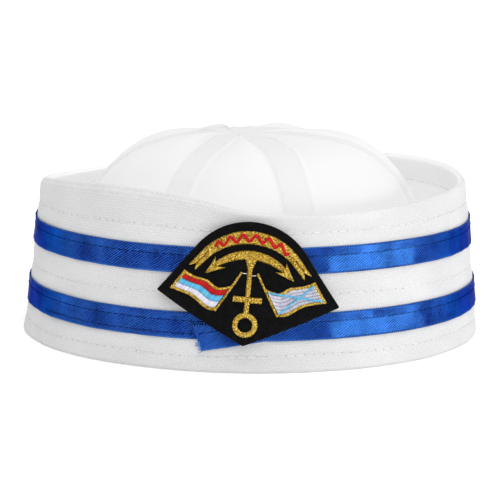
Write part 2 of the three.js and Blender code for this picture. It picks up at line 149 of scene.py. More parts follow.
# %% Finish
class Finish:
    """A material, and the nodes that are added to it."""

    def __init__(self, name):
        self.material = bpy.data.materials.new(name)
        self.material.use_nodes = True
        self.tree = self.material.node_tree
        self.shader = self.tree.nodes["Principled BSDF"]

    def connect(self, socket, value):
        if isinstance(value, Wire):
            self.tree.links.new(value.socket, socket)
        else:
            socket.default_value = value

    def node(self, kind, settings=None, sockets=None, output=0):
        """Adds any node: its type, its settings, and the values or links of its sockets."""
        made = self.tree.nodes.new(kind)
        for key, value in (settings or {}).items():
            setattr(made, key, value)
        for key, value in (sockets or {}).items():
            self.connect(made.inputs[key], value)
        return Wire(self, made.outputs[output])

    def mix(self, first, second, factor):
        sockets = {0: factor, 6: first, 7: second}
        return self.node("ShaderNodeMix", {"data_type": "RGBA"}, sockets, output=2)

    def cloth(self):
        """The cloth's own coordinates, in millimetres along and across."""
        uv = self.node("ShaderNodeUVMap", {"uv_map": "cloth"})
        along = self.node("ShaderNodeSeparateXYZ", None, {0: uv}, output="X") * (1 / MM)
        across = self.node("ShaderNodeSeparateXYZ", None, {0: uv}, output="Y") * (1 / MM)
        return along, across

    def texture(self, place, scale, detail):
        sockets = {"Vector": place, "Scale": scale, "Detail": detail}
        return self.node("ShaderNodeTexNoise", None, sockets)

    def noise(self, x, y, detail=2.0):
        """Noise on the cloth's own coordinates."""
        return self.texture(self.node("ShaderNodeCombineXYZ", None, {0: x, 1: y}), 1.0, detail)

    def grain(self, scale, detail=2.0):
        """Noise through the piece, in waves per metre."""
        return self.texture(self.node("ShaderNodeTexCoord", output="Object"), scale, detail)

    def shade(self):
        """The shade that each vertex carries."""
        return self.node("ShaderNodeAttribute", {"attribute_name": "shade"}, output="Fac")

    def bump(self, height, strength, depth):
        sockets = {"Height": height, "Strength": strength, "Distance": depth}
        return self.node("ShaderNodeBump", None, sockets)

    def gloss(self, sockets, factor):
        """Lays a shinier surface over the first one, by the given share."""
        over = self.node("ShaderNodeBsdfPrincipled", None, sockets)
        under = Wire(self, self.shader.outputs[0])
        both = self.node("ShaderNodeMixShader", None, {0: factor, 1: under, 2: over})
        self.connect(self.tree.nodes["Material Output"].inputs["Surface"], both)

    def surface(self, sockets):
        """Sets or links the shader's own sockets, by name."""
        for key, value in sockets.items():
            self.connect(self.shader.inputs[key], value)
        return self.material


def colour(red, green, blue):
    """A screen colour, 0 to 255, as the linear light that a shader mixes."""
    parts = np.array([red, green, blue]) / 255
    linear = np.where(parts <= 0.04045, parts / 12.92, ((parts + 0.055) / 1.055) ** 2.4)
    return (*linear.tolist(), 1.0)


print("shader helpers ready")

# %% [markdown]
# ## The studio
# The cap stands on a plain white table under soft light, a little stronger from the right and above,
# so the left of the brim falls off to grey. Large area lamps give soft edges, and a white world fills
# the shadows. A white thing on white only shows where its walls turn away from the light.

# %% Floor
bpy.context.scene.view_settings.view_transform = "Standard"
FLOOR_GLOW = 0.17  # the light that a white table would take up from a larger studio
FLOOR_SIZE = 6.0


def floor_finish():
    finish = Finish("pale_floor")
    tone = finish.mix(colour(253, 253, 253), colour(255, 255, 255), finish.grain(30.0))
    look = {"Base Color": tone, "Roughness": 0.9}
    return finish.surface({**look, "Emission Color": tone, "Emission Strength": FLOOR_GLOW})


floor_bm = bmesh.new()
bmesh.ops.create_grid(floor_bm, x_segments=4, y_segments=4, size=FLOOR_SIZE)
floor_mesh = bpy.data.meshes.new("floor")
floor_bm.to_mesh(floor_mesh)
floor_bm.free()
floor_mesh.materials.append(floor_finish())
floor = bpy.data.objects.new("floor", floor_mesh)
bpy.context.collection.objects.link(floor)
print(f"a floor {2 * FLOOR_SIZE:.0f} m wide")

# %% World and lamps
WORLD_STRENGTH = 0.47
world = bpy.data.worlds.new("studio")
world.use_nodes = True
world.node_tree.nodes["Background"].inputs["Color"].default_value = (1, 1, 1, 1)
world.node_tree.nodes["Background"].inputs["Strength"].default_value = WORLD_STRENGTH
bpy.context.scene.world = world


def add_lamp(kind, name, azimuth, elevation, distance, **settings):
    """Puts a lamp at a bearing from the cap, turned towards it."""
    data = bpy.data.lights.new(name, kind)
    for key, value in settings.items():
        setattr(data, key, value)
    bearing, tilt = math.radians(azimuth), math.radians(elevation)
    level_part = math.cos(tilt)
    away = Vector((level_part * math.sin(bearing), -level_part * math.cos(bearing), math.sin(tilt)))
    lamp = bpy.data.objects.new(name, data)
    lamp.location = AIM + distance * away
    lamp.rotation_euler = away.to_track_quat("Z", "Y").to_euler()
    bpy.context.collection.objects.link(lamp)


def add_softbox(name, azimuth, elevation, distance, **sizes):
    add_lamp("AREA", name, azimuth, elevation, distance, shape="RECTANGLE", **sizes)


add_lamp("SUN", "overhead", azimuth=20, elevation=82, distance=3.0, energy=1.75, angle=math.radians(80))
add_softbox("right_softbox", azimuth=64, elevation=3, distance=1.3, energy=3.6, size=1.1, size_y=0.2)
add_softbox("left_softbox", azimuth=-58, elevation=8, distance=1.3, energy=0.1, size=0.4, size_y=0.6)
add_softbox("front_fill", azimuth=14, elevation=32, distance=1.6, energy=2.8, size=0.9, size_y=0.6)
lamp_count = sum(thing.type == "LIGHT" for thing in bpy.context.scene.objects)
print(f"{lamp_count} lamps")

# %% [markdown]
# ## The cap's form
# All pieces share a few measures: where a point lies round the cap, how the wall leans, and how its
# rim rises on one side. An azimuth is in degrees from the front, positive to the right. The rim is a
# short table, one row for each place where its line changes, and a smooth curve runs through it.

# %% Shared measures
FOOT_RADIUS = 96 * MM
WALL_LEAN = 5.7 / 64


def smooth(low, high, value):
    """0 at low, 1 at high, and a soft step between."""
    share = np.clip((value - low) / (high - low), 0, 1)
    return share * share * (3 - 2 * share)


def on_cap(radius, azimuth, height):
    """Points at a distance from the cap's axis, an azimuth and a height."""
    angle = np.radians(azimuth)
    x, y = radius * np.sin(angle), AXIS_Y - radius * np.cos(angle)
    return np.stack(np.broadcast_arrays(x, y, height), axis=-1)


def azimuth_of(points):
    return np.degrees(np.arctan2(points[:, 0], AXIS_Y - points[:, 1]))


def curve(values, at):
    """A smooth curve through evenly numbered values, read at fractional numbers."""
    values = np.asarray(values, dtype=float)
    at = np.clip(at, 0, len(values) - 1)
    start = np.minimum(at.astype(int), len(values) - 2)
    share = at - start
    padded = np.concatenate([[2 * values[0] - values[1]], values, [2 * values[-1] - values[-2]]])
    p0, p1, p2, p3 = (padded[start + step] for step in range(4))
    bend = 2 * p0 - 5 * p1 + 4 * p2 - p3
    twist = 3 * p1 - p0 - 3 * p2 + p3
    return p1 + 0.5 * share * (p2 - p0 + share * (bend + share * twist))


def ripple(azimuth, height):
    """The slight unevenness of a stiffened cloth wall."""
    angle = np.radians(azimuth)
    slow = 0.30 * MM * np.sin(3 * angle + 0.8 + height / (30 * MM))
    quick = 0.16 * MM * np.sin(8 * angle + 2.1 - height / (17 * MM))
    return slow + quick + 0.10 * MM * np.sin(17 * angle + height / (9 * MM))


def wall_radius(azimuth, height):
    """The brim's outside, before its rim and foot are shaped."""
    return FOOT_RADIUS - WALL_LEAN * height + ripple(azimuth, height)


print(f"the wall leans {math.degrees(math.atan(WALL_LEAN)):.1f} degrees")

# %% [markdown]
# ## Making pieces
# A ring is a section spun round the axis, and each vertex remembers its place in the section, so the
# ring can be reshaped afterwards. A piece gets its mesh, its finish, the body that it rides on and
# the solids that it stands for in one call, because every piece needs all four.


# %% Rings and pieces
def turned(section, steps, start_azimuth):
    """Spins a section of (radius, height) points, closed if it ends where it starts."""
    bm = bmesh.new()
    place = bm.verts.layers.int.new("place")
    closed = section[0] == section[-1]
    points = section[:-1] if closed else section
    verts = [bm.verts.new(on_cap(radius, start_azimuth, height)) for radius, height in points]
    for index, vert in enumerate(verts):
        vert[place] = index
    ends = zip(verts, verts[1:] + verts[:1]) if closed else zip(verts, verts[1:])
    edges = [bm.edges.new(pair) for pair in ends]
    turn = {"cent": (0, AXIS_Y, 0), "axis": (0, 0, 1), "angle": 2 * math.pi, "steps": steps}
    bmesh.ops.spin(bm, geom=verts + edges, use_merge=True, **turn)
    bm.verts.index_update()
    places = np.array([vert[place] for vert in bm.verts])
    azimuths = azimuth_of(np.array([vert.co for vert in bm.verts]))
    return bm, places, azimuths


def move_verts(bm, points):
    """Puts each vertex at its new point."""
    for vert, point in zip(bm.verts, points):
        vert.co = point


def shade_verts(bm, shades):
    """Gives each vertex the shade that a finish reads."""
    layer = bm.verts.layers.float.new("shade")
    for vert, shade in zip(bm.verts, shades):
        vert[layer] = shade


SAME_POINT = 0.002 * MM


def close_and_turn_out(bm):
    """Merges poles and seams, and points the faces outwards."""
    bmesh.ops.remove_doubles(bm, verts=bm.verts, dist=SAME_POINT)
    bmesh.ops.recalc_face_normals(bm, faces=bm.faces)


def add_piece(name, mesh, material, slot, *nodes):
    """Makes a mesh a piece of the cap, which stands for the given solids."""
    mesh.materials.append(material)
    mesh.shade_smooth()
    made = bpy.data.objects.new(name, mesh)
    bpy.context.collection.objects.link(made)
    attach(made, "root")
    if nodes:
        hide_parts(*nodes)
    print(f"{name}: {len(mesh.polygons)} faces")
    return made


def mesh_from(bm, name):
    mesh = bpy.data.meshes.new(name)
    bm.to_mesh(mesh)
    bm.free()
    return mesh


print("piece helpers ready")

# %% [markdown]
# ## White twill
# The brim is cotton drill: slanting ridges about a millimetre apart, crossed by the yarns, and the
# crown is a finer cloth of the same sort. Both could be a plain white with noise, but the ridges make
# them read as cloth close up. They follow the cloth's own map, so they run round the wall and over
# the folded rim. Noise bends the ridges a little and adds flecks, as uneven yarns do.


# %% White twill finish
def twill_finish(name, plain, painted_light_tones, pitch, relief):
    """Twill with plain places, where its shade is 0, and places of painted light or shade, where it is
    1.

    Each has a light and a dark tone, and a grey for a painted glow that stands in for light through the
    cloth.
    """
    finish = Finish(name)
    along, across = finish.cloth()
    bend, shiver = finish.noise(along * 0.05, across * 0.05), finish.noise(along * 0.3, across * 0.3)
    wander = bend * 0.8 + shiver * 0.9
    ridge = ((along * 0.88 - across * 0.48) * (1 / pitch) + wander).wave()
    yarn = (across * (1.16 / pitch) + wander * 0.4).wave()
    fleck = finish.noise(along * 1.1, across * 1.1, detail=1.0).above(0.32, 0.68)
    slub = finish.noise(along * 0.5, across * 4.0, detail=3.0)
    height = (ridge * 0.42 + yarn * 0.28 + fleck * 0.3) * (0.7 + 0.6 * slub)
    blotch = finish.noise(along * 0.03, across * 0.05, detail=3.0)
    shade = finish.shade()
    light, dark, through = (finish.mix(first, second, shade) for first, second in zip(plain, painted_light_tones))
    tone = finish.mix(dark, light, (height * 0.42 + blotch * 0.5).above(0.1, 0.8))
    look = {"Base Color": tone, "Roughness": 0.92, "Normal": finish.bump(height, relief, 0.12 * MM)}
    # painted glow: the third grey is emitted, so the cloth glows though it is no lamp
    look |= {"Emission Color": through, "Emission Strength": 1.0}
    return finish.surface({**look, "Sheen Weight": 0.10, "Sheen Roughness": 0.5})


brim_outside = colour(228, 228, 228), colour(201, 201, 202), colour(0, 0, 0)
# painted light: the brim's inside is painted lighter and given a painted glow
brim_inside_painted_light = colour(240, 240, 240), colour(231, 231, 231), colour(100, 100, 100)
# the crown glows all over, a painted glow, and its seam strips are painted darker, as painted shade
gore_cloth_and_glow = colour(190, 190, 190), colour(186, 186, 187), colour(156, 156, 156)
seam_cloth_shade_and_glow = colour(187, 187, 187), colour(182, 182, 183), colour(151, 151, 151)
brim_twill = twill_finish("brim_twill", brim_outside, brim_inside_painted_light, pitch=1.0, relief=0.6)
crown_cotton = twill_finish("crown_cotton", gore_cloth_and_glow, seam_cloth_shade_and_glow, pitch=0.55, relief=0.25)
print("twill ready")

# %% [markdown]
# ## The brim
# On a real cap the brim is one long strip, folded at the rim over a stiffener, sewn through in level
# rows and turned up. It could be sculpted from the solid, but a spun section is exact and keeps the
# rows level. The rim rises in a soft roll at the left of the front and is crisp at the right, and the
# cloth sinks in along each row of stitches.

# %% Brim form
BRIM_WALL = 2.6 * MM
PLAIN_TOP = 64 * MM
FREE_FROM = 50 * MM
PUSH_TO = 13 * MM
ROLL_FROM = FREE_FROM + 4 * MM
ROLL_SWELL, ROLL_FALL = 1.4, 0.9  # how much thicker a roll is, and how far its sides drop
BRIM_FORM = [
    {"azimuth": -180, "height": 64.0, "tuck": 0.5, "push": 0.0, "roll": 0.4},
    {"azimuth": -125, "height": 60.8, "tuck": 0.5, "push": 1.0, "roll": 0.4},
    {"azimuth": -90, "height": 64.2, "tuck": 0.0, "push": 1.4, "roll": 1.2},
    {"azimuth": -62, "height": 68.6, "tuck": 1.6, "push": 0.8, "roll": 2.2},
    {"azimuth": -38, "height": 70.4, "tuck": 3.0, "push": 0.2, "roll": 2.4},
    {"azimuth": -18, "height": 68.6, "tuck": 2.2, "push": 0.0, "roll": 1.6},
    {"azimuth": 0, "height": 63.2, "tuck": 1.0, "push": 0.0, "roll": 0.6},
    {"azimuth": 25, "height": 61.8, "tuck": 0.5, "push": 0.0, "roll": 0.0},
    {"azimuth": 60, "height": 64.2, "tuck": 0.5, "push": 0.0, "roll": 0.0},
    {"azimuth": 90, "height": 65.6, "tuck": 0.5, "push": 0.0, "roll": 0.4},
    {"azimuth": 125, "height": 67.2, "tuck": 0.0, "push": 0.0, "roll": 0.8},
]


def brim_form(column, azimuth):
    """A column of the table, in metres, as a smooth closed curve round the cap."""
    rows = BRIM_FORM + BRIM_FORM + BRIM_FORM
    turns = np.repeat([-360, 0, 360], len(BRIM_FORM))
    knots = np.array([row["azimuth"] for row in rows]) + turns
    number = np.interp(azimuth, knots, np.arange(len(rows)))
    return curve([row[column] * MM for row in rows], number)


ROW_HEIGHTS = [6.5 * MM, 30 * MM, 55.5 * MM]
QUILT_DEPTH = 0.45 * MM
QUILT_WIDTH = 1.7 * MM


def row_height(row, azimuth):
    """Sewn rows wander a little, as a hand guides the cloth under the needle."""
    angle, own = np.radians(azimuth), row / MM
    return row + 0.5 * MM * np.sin(2 * angle + 30 * own) + 0.25 * MM * np.sin(7 * angle + own)


def brim_point(azimuth, plain, depth):
    """Points of the brim.

    plain is the height before the rim is raised, and depth goes from 0 outside to 1 inside.
    """
    near_rim = smooth(FREE_FROM, PLAIN_TOP, plain)
    rise = brim_form("height", azimuth) - PLAIN_TOP
    height = plain + np.maximum(plain - FREE_FROM, 0) / (PLAIN_TOP - FREE_FROM) * rise
    roll = brim_form("roll", azimuth)
    thick = BRIM_WALL + ROLL_SWELL * roll * smooth(ROLL_FROM, PLAIN_TOP, plain)
    crest = np.sin(np.pi * np.clip(depth, 0, 1))
    height = height - ROLL_FALL * roll * near_rim * (1 - crest)
    from_rows = [(plain - row_height(row, azimuth)) / QUILT_WIDTH for row in ROW_HEIGHTS]
    sunk = QUILT_DEPTH * sum(np.exp(-(away**2)) for away in from_rows) * np.cos(np.pi * depth)
    shift = brim_form("push", azimuth) * np.maximum(1 - plain / PUSH_TO, 0)
    shift = shift - brim_form("tuck", azimuth) * near_rim
    radius = wall_radius(azimuth, plain) + shift - depth * thick - sunk
    return on_cap(radius, azimuth, height)


print(f"rim from {brim_form('height', np.arange(-180, 180)).min() / MM:.1f} mm up")

# %% Brim mesh
BRIM_STEPS = 336
BRIM_ROW_PITCH = 1.1 * MM
FOLD_STEPS, HEM_STEPS = 10, 6
HEM_ROUND = 1.0 * MM
fold_radius = BRIM_WALL / 2
fold_height = PLAIN_TOP - fold_radius
wall_heights = np.linspace(HEM_ROUND, fold_height, round(fold_height / BRIM_ROW_PITCH))
fold_angles = np.linspace(0, math.pi, FOLD_STEPS + 1)[1:-1]
hem_angles = np.linspace(0, math.pi, HEM_STEPS + 1)[1:-1]
brim_plain = np.concatenate([
    wall_heights,
    fold_height + fold_radius * np.sin(fold_angles),
    wall_heights[::-1],
    HEM_ROUND * (1 - np.sin(hem_angles)),
])
brim_depth = np.concatenate([
    np.zeros(len(wall_heights)),
    (1 - np.cos(fold_angles)) / 2,
    np.ones(len(wall_heights)),
    (1 + np.cos(hem_angles)) / 2,
])
brim_section = [
    (FOOT_RADIUS - WALL_LEAN * plain - depth * BRIM_WALL, plain)
    for plain, depth in zip(brim_plain, brim_depth)
]
brim_bm, brim_places, brim_azimuths = turned(brim_section + brim_section[:1], BRIM_STEPS, 180)
plains, depths = brim_plain[brim_places], brim_depth[brim_places]
move_verts(brim_bm, brim_point(brim_azimuths, plains, depths))
# shade rises to 1 on the inside, which the finish paints lighter and glowing, as painted light
shade_verts(brim_bm, smooth(0.3, 0.9, depths))
print(f"a section of {len(brim_section)} points, spun in {BRIM_STEPS} steps")


# %% Brim cloth map
def map_cloth(bm, along, across, lap):
    """Lays the cloth's map: metres along and across, where along starts again after lap."""
    layer = bm.loops.layers.uv.new("cloth")
    for face in bm.faces:
        first = along[face.loops[0].vert.index]
        for loop in face.loops:
            here = along[loop.vert.index]
            loop[layer].uv = (here + lap * round((first - here) / lap), across[loop.vert.index])


def walked(points):
    """The distance walked along a line of points, at each of them."""
    steps = np.linalg.norm(np.diff(points, axis=0), axis=1)
    return np.concatenate([[0], np.cumsum(steps)])


section_length = walked(np.array(brim_section))
brim_lap = 2 * math.pi * FOOT_RADIUS
map_cloth(brim_bm, brim_azimuths / 360 * brim_lap, section_length[brim_places], brim_lap)
close_and_turn_out(brim_bm)
brim = add_piece("brim_cloth", mesh_from(brim_bm, "brim_cloth"), brim_twill, "white_twill", "brim")

# %% [markdown]
# ## The crown
# Real crowns are gores, sewn to each other with flat-felled seams: both edges are folded into one
# strip and stitched down twice, so each seam shows as a smooth band with a line along both sides.
# Seven separate gores could be modelled, but from outside the seams close them into one skin. So the
# dome is spun once, with its columns drawn in towards the seams, and the gores puffed out between.

# %% Seams and profile
SEAMS = [
    {"azimuth": -28, "width": 10.6},
    {"azimuth": 16, "width": 13.0},
    {"azimuth": 81, "width": 11.0},
    {"azimuth": 132, "width": 11.0},
    {"azimuth": 183, "width": 11.0},
    {"azimuth": 228, "width": 11.0},
    {"azimuth": 272, "width": 11.0},
]
GORES = len(SEAMS)
GORE = 360 / GORES
SEAM_AZIMUTHS = np.array([row["azimuth"] for row in SEAMS])
SEAM_WIDTHS = np.array([row["width"] for row in SEAMS]) * MM
TO_NEXT = (np.roll(SEAM_AZIMUTHS, -1) - SEAM_AZIMUTHS) % 360
TO_LAST = np.roll(TO_NEXT, 1)
SEAM_RISE = 0.45 * MM
SAGS = [
    {"azimuth": -100, "spread": 50, "low": 45 * MM, "high": 84 * MM, "depth": 1.4 * MM},
    {"azimuth": 88, "spread": 48, "low": 34 * MM, "high": 82 * MM, "depth": 2.8 * MM},
]
CROWN_WALL = 1.0 * MM
APEX_SHIFT = -6 * MM
SHIFT_WITHIN = 45 * MM
CROWN_PROFILE = [
    {"radius": 92.9, "height": 0.6, "puff": 0.0},
    {"radius": 92.4, "height": 6.0, "puff": 0.0},
    {"radius": 86.6, "height": 20.0, "puff": 0.6},
    {"radius": 79.5, "height": 36.0, "puff": 1.2},
    {"radius": 73.0, "height": 50.5, "puff": 1.6},
    {"radius": 67.2, "height": 61.5, "puff": 2.0},
    {"radius": 61.0, "height": 68.8, "puff": 2.2},
    {"radius": 53.0, "height": 74.8, "puff": 2.4},
    {"radius": 43.5, "height": 79.2, "puff": 2.4},
    {"radius": 33.0, "height": 81.6, "puff": 2.2},
    {"radius": 22.0, "height": 83.0, "puff": 1.6},
    {"radius": 11.0, "height": 83.4, "puff": 0.8},
    {"radius": 0.0, "height": 83.0, "puff": 0.0},
]
LAST_ROW = len(CROWN_PROFILE) - 1
print(f"{GORES} gores, {TO_NEXT.min()} to {TO_NEXT.max()} degrees wide")


# %% Crown form
def crown_column(column, at):
    """A column of the profile, in metres, read at fractional rows."""
    return curve([row[column] * MM for row in CROWN_PROFILE], at)


def crown_inwards(at):
    """The way in through the cloth, as parts along the radius and along the height."""
    step = 0.05
    across = crown_column("radius", at + step) - crown_column("radius", at - step)
    up = crown_column("height", at + step) - crown_column("height", at - step)
    length = np.hypot(across, up)
    return -up / length, across / length


STRIP_SHARE, DIP_SHARE = 0.12, 0.16  # the parts of a gore's columns that lie on its seam
ON_STRIP = STRIP_SHARE + 1e-6
DIP_WIDTH = 1.6 * MM
STRIP_MOST, DIP_MOST = 0.38 * GORE, 0.44 * GORE  # near the top, where the seams meet
SAFE_RADIUS = 1 * MM


def seam_angles(seam, radius):
    """Half the seam strip, and where the dip beside it ends, in degrees."""
    safe = np.maximum(radius, SAFE_RADIUS)
    strip = np.minimum(np.degrees(SEAM_WIDTHS[seam] / 2 / safe), STRIP_MOST)
    return strip, np.minimum(strip + np.degrees(DIP_WIDTH / safe), DIP_MOST)


def crown_sag(azimuth, height):
    """How far the crown has sunk in on its two sides."""
    sunk = 0
    for sag in SAGS:
        aside = np.abs((azimuth - sag["azimuth"] + 180) % 360 - 180) / sag["spread"]
        up = np.clip((height - sag["low"]) / (sag["high"] - sag["low"]), 0, 1)
        sunk = sunk + sag["depth"] * np.cos(np.pi / 2 * np.minimum(aside, 1)) ** 2 * np.sin(np.pi * up)
    return sunk


CREASE_DEPTH = 0.22 * MM


def crown_creases(azimuth, at):
    """Soft creases that run up the thin cloth."""
    angle = np.radians(azimuth)
    slow = np.sin(5 * angle + 0.7 * at) + 0.7 * np.sin(9 * angle + 1.7 - 0.5 * at)
    creases = CREASE_DEPTH * (slow + 0.6 * np.sin(16 * angle + 0.9 * at))
    return creases * smooth(0.5, 3, at) * smooth(12, 9, at)


SWELL_POWER = 2.2  # how soon a gore rises beside its seam
TURN_FROM, TURN_TO = 55 * MM, 82 * MM  # heights between which the relief turns from outwards to upwards


def crown_point(share, seam, at, depth):
    """Points of the crown.

    share goes from -0.5 to 0.5 across a seam, at is a row of the profile, depth is into the cloth.
    """
    radius, height = crown_column("radius", at), crown_column("height", at)
    puff = crown_column("puff", at)
    strip, dip = seam_angles(seam, radius)
    half_gore = np.where(share < 0, TO_LAST[seam], TO_NEXT[seam]) / 2
    off = np.abs(share)
    on_dip = np.clip((off - STRIP_SHARE) / (DIP_SHARE - STRIP_SHARE), 0, 1)
    on_gore = np.clip((off - DIP_SHARE) / (0.5 - DIP_SHARE), 0, 1)
    angle = np.where(off <= STRIP_SHARE, off / STRIP_SHARE * strip, strip + on_dip * (dip - strip))
    angle = np.where(off > DIP_SHARE, dip + on_gore * (half_gore - dip), angle)
    azimuth = SEAM_AZIMUTHS[seam] + np.sign(share) * angle
    swell = puff * (1 - (1 - on_gore) ** SWELL_POWER)
    relief = np.where(off <= ON_STRIP, np.minimum(SEAM_RISE, 0.4 * puff + 0.1 * MM), swell)
    relief = (relief + crown_creases(azimuth, at)) * smooth(SAFE_RADIUS, 15 * MM, radius)
    upwards = smooth(TURN_FROM, TURN_TO, height)
    in_radius, in_height = crown_inwards(at)
    point = on_cap(
        radius - crown_sag(azimuth, height) + relief * (1 - upwards) + depth * in_radius,
        azimuth,
        height + relief * upwards + depth * in_height,
    )
    point[..., 0] += APEX_SHIFT * (1 - smooth(0, SHIFT_WITHIN, radius))
    return point


print(f"the crown is {crown_column('height', np.arange(LAST_ROW + 1)).max() / MM:.1f} mm high")

# %% Crown mesh
COLUMNS_PER_GORE = 52
OUTER_ROWS, INNER_ROWS = 85, 43
SPREAD = 0.4 * MM  # keeps the poles off the axis until the columns are placed
crown_rows = np.concatenate([np.linspace(LAST_ROW, 0, OUTER_ROWS), np.linspace(0, LAST_ROW, INNER_ROWS)])
crown_depths = np.repeat([0, CROWN_WALL], [OUTER_ROWS, INNER_ROWS])
crown_radii = crown_column("radius", crown_rows)
crown_section = list(zip(crown_radii + SPREAD, crown_column("height", crown_rows)))
crown_steps = GORES * COLUMNS_PER_GORE
crown_bm, crown_places, crown_azimuths = turned(crown_section, crown_steps, SEAM_AZIMUTHS[0])
phases = (crown_azimuths - SEAM_AZIMUTHS[0]) / GORE
seams = np.round(phases)
shares = np.round((phases - seams) * COLUMNS_PER_GORE) / COLUMNS_PER_GORE
rows_at = crown_rows[crown_places]
seams = seams.astype(int) % GORES
move_verts(crown_bm, crown_point(shares, seams, rows_at, crown_depths[crown_places]))
print(f"{crown_steps} columns, drawn in towards {GORES} seams")

# %% Crown cloth map
LEAST_STEP = 0.4 * MM  # keeps the map moving where the wall is steep
# shade is 1 on the seam strips, which the finish paints darker, as painted shade
shade_verts(crown_bm, np.where(np.abs(shares) <= ON_STRIP, 1.0, 0.0))
crown_along = np.cumsum(np.hypot(np.diff(crown_radii, prepend=0), LEAST_STEP))
map_cloth(crown_bm, crown_azimuths / 360 * brim_lap, crown_along[crown_places], brim_lap)
close_and_turn_out(crown_bm)
gore_nodes = [f"crown_gore_{number}" for number in range(1, GORES + 1)]
crown_mesh = mesh_from(crown_bm, "crown_cloth")
crown = add_piece("crown_cloth", crown_mesh, crown_cotton, "white_twill", *gore_nodes)
half_rows = np.linspace(0, LAST_ROW, 200)
half_section = np.stack([crown_column(column, half_rows) for column in ("radius", "height")], axis=-1)
gore_reach = np.diff(walked(half_section))
gore_girth = 2 * math.pi * crown_column("radius", (half_rows[1:] + half_rows[:-1]) / 2)
crown_flat = (gore_reach.sum(), gore_girth[0])
(gore_reach * gore_girth).sum()
print(f"gores {crown_flat[0] / MM:.0f} mm long, {crown_flat[1] / MM:.0f} mm round together")

# %% [markdown]
# ## Satin ribbon
# Satin is woven so that long threads float on its face, which gives it a soft gloss and a fine slant.
# The gloss could come from a low roughness alone, but the slant breaks it up into streaks, and the
# woven edges show as a line of bright and dark dashes, the bright ones partly a painted highlight. So
# the finish works from the ribbon's own map, paints the streaks lighter as a painted sheen, and mixes
# in the gloss, a second surface, on the same streaks.


# %% Satin finish
RIBBON_WIDTH = 10.6 * MM
SLANT_PITCH, DASH_PITCH = 0.85, 1.05  # millimetres between slanting threads, and along the woven edge
GRAIN_DEPTH = 0.10 * MM


def satin_finish():
    """A blue weave, painted lighter on its streaks as a painted sheen, and a gloss over them that is
    tinted as satin's is.
    """
    finish = Finish("blue_satin")
    along, across = finish.cloth()
    wander = finish.noise(along * 0.12, across * 0.12) * 1.2
    slant = ((along * 0.55 + across * 0.84) * (1 / SLANT_PITCH) + wander).wave()
    streak = finish.noise(along * 0.9 + across * 0.9, across * 0.30 - along * 0.14, detail=3.0)
    sweep = finish.noise(along * 0.09, across * 0.05)
    speck = finish.noise(along * 1.5, across * 1.5, detail=1.0)
    # painted sheen: on these weave streaks the base colour is painted lighter, and more gloss is mixed
    # in
    weave_and_painted_sheen = (sweep * 0.7 + streak * 0.5 + slant * 0.4 + speck * 0.65).above(0.98, 1.34)
    tone = finish.mix(colour(4, 14, 82), colour(18, 46, 168), weave_and_painted_sheen)
    edge = (across * (MM / RIBBON_WIDTH * 2)).math("ABSOLUTE").above(0.88, 0.94)
    edge_dash_and_glint = (along * (1 / DASH_PITCH)).wave().above(0.45, 0.75)
    # the woven edge: a real dash pattern, whose bright dashes are partly a painted highlight
    tone = finish.mix(tone, finish.mix(colour(8, 24, 84), colour(88, 140, 226), edge_dash_and_glint), edge * 0.55)
    height = slant * (0.4 + 0.6 * streak) * (1 - edge) + edge_dash_and_glint * edge
    normal = finish.bump(height, 0.8, GRAIN_DEPTH)
    polish = finish.bump(height, 0.26, GRAIN_DEPTH)
    shine = {"Base Color": colour(76, 150, 234), "Roughness": 0.11 + 0.09 * streak, "Normal": polish}
    shine |= {"Metallic": 1.0, "Specular Tint": colour(70, 115, 200)}
    finish.gloss(shine, 0.03 + 0.34 * weave_and_painted_sheen)
    look = {"Base Color": tone, "Roughness": 0.6, "Normal": normal, "Specular IOR Level": 0.0}
    return finish.surface({**look, "Sheen Weight": 0.06, "Sheen Roughness": 0.25})


blue_satin = satin_finish()
print("satin ready")

# %% [markdown]
# ## The ribbons
# Each ribbon is a flat strip sewn down by one line of stitches, so it hugs the wall there and its
# edges are free to lift and pucker. A strip could be cut out of the wall, but a grid that is bent
# round it keeps the weave straight. The lower one starts behind the badge, goes right round, laps over
# its own start and ends in a slanting cut that hangs below the line.

# %% Ribbon form
RIBBON_WALL = 0.35 * MM
RIBBON_GAP = 0.12 * MM
UPPER_HEIGHT = 44.2 * MM
LOWER_HEIGHT = 18.3 * MM
SEWN_SHARE = 0.17  # of the width, above the ribbon's middle
EDGE_LIFT, SHORT_LIFT, OUT_LIFT = 0.22 * MM, 0.07 * MM, 0.25 * MM


def pucker(along, across):
    """How far the ribbon lifts off the wall: least along its stitches, most at its edges."""
    free = np.clip(np.abs(across / RIBBON_WIDTH - SEWN_SHARE) / 0.6, 0, 1)
    long_wave = np.sin(along / (7.1 * MM)) * np.sin(along / (16.3 * MM) + 1.2)
    short_wave = np.sin(along / (1.9 * MM) + 2.0 * np.sin(along / (23 * MM)))
    waves = EDGE_LIFT * (1 + long_wave) * free + SHORT_LIFT * short_wave * (0.35 + free)
    return waves * smooth(0, 0.25, free)


def away_from_badge(azimuth):
    """0 in front, where the badge holds the ribbons down, and 1 on the sides and behind."""
    turned_back = np.abs((azimuth + 180) % 360 - 180)
    return smooth(35, 80, turned_back)


def ribbon_point(along, across, middle, start, rise, lift):
    """A point of a ribbon that runs from its start azimuth towards smaller ones."""
    azimuth = start - np.degrees(along / (FOOT_RADIUS - WALL_LEAN * middle))
    height = middle + across + rise(azimuth)
    stand = OUT_LIFT * away_from_badge(azimuth) * (across / RIBBON_WIDTH + 0.5) ** 2
    off = RIBBON_GAP + pucker(along, across) + stand + lift(azimuth)
    return on_cap(wall_radius(azimuth, height) + off, azimuth, height)


RIBBON_ACROSS, RIBBON_ALONG = 14, 900
CUT_REACH = 12 * MM


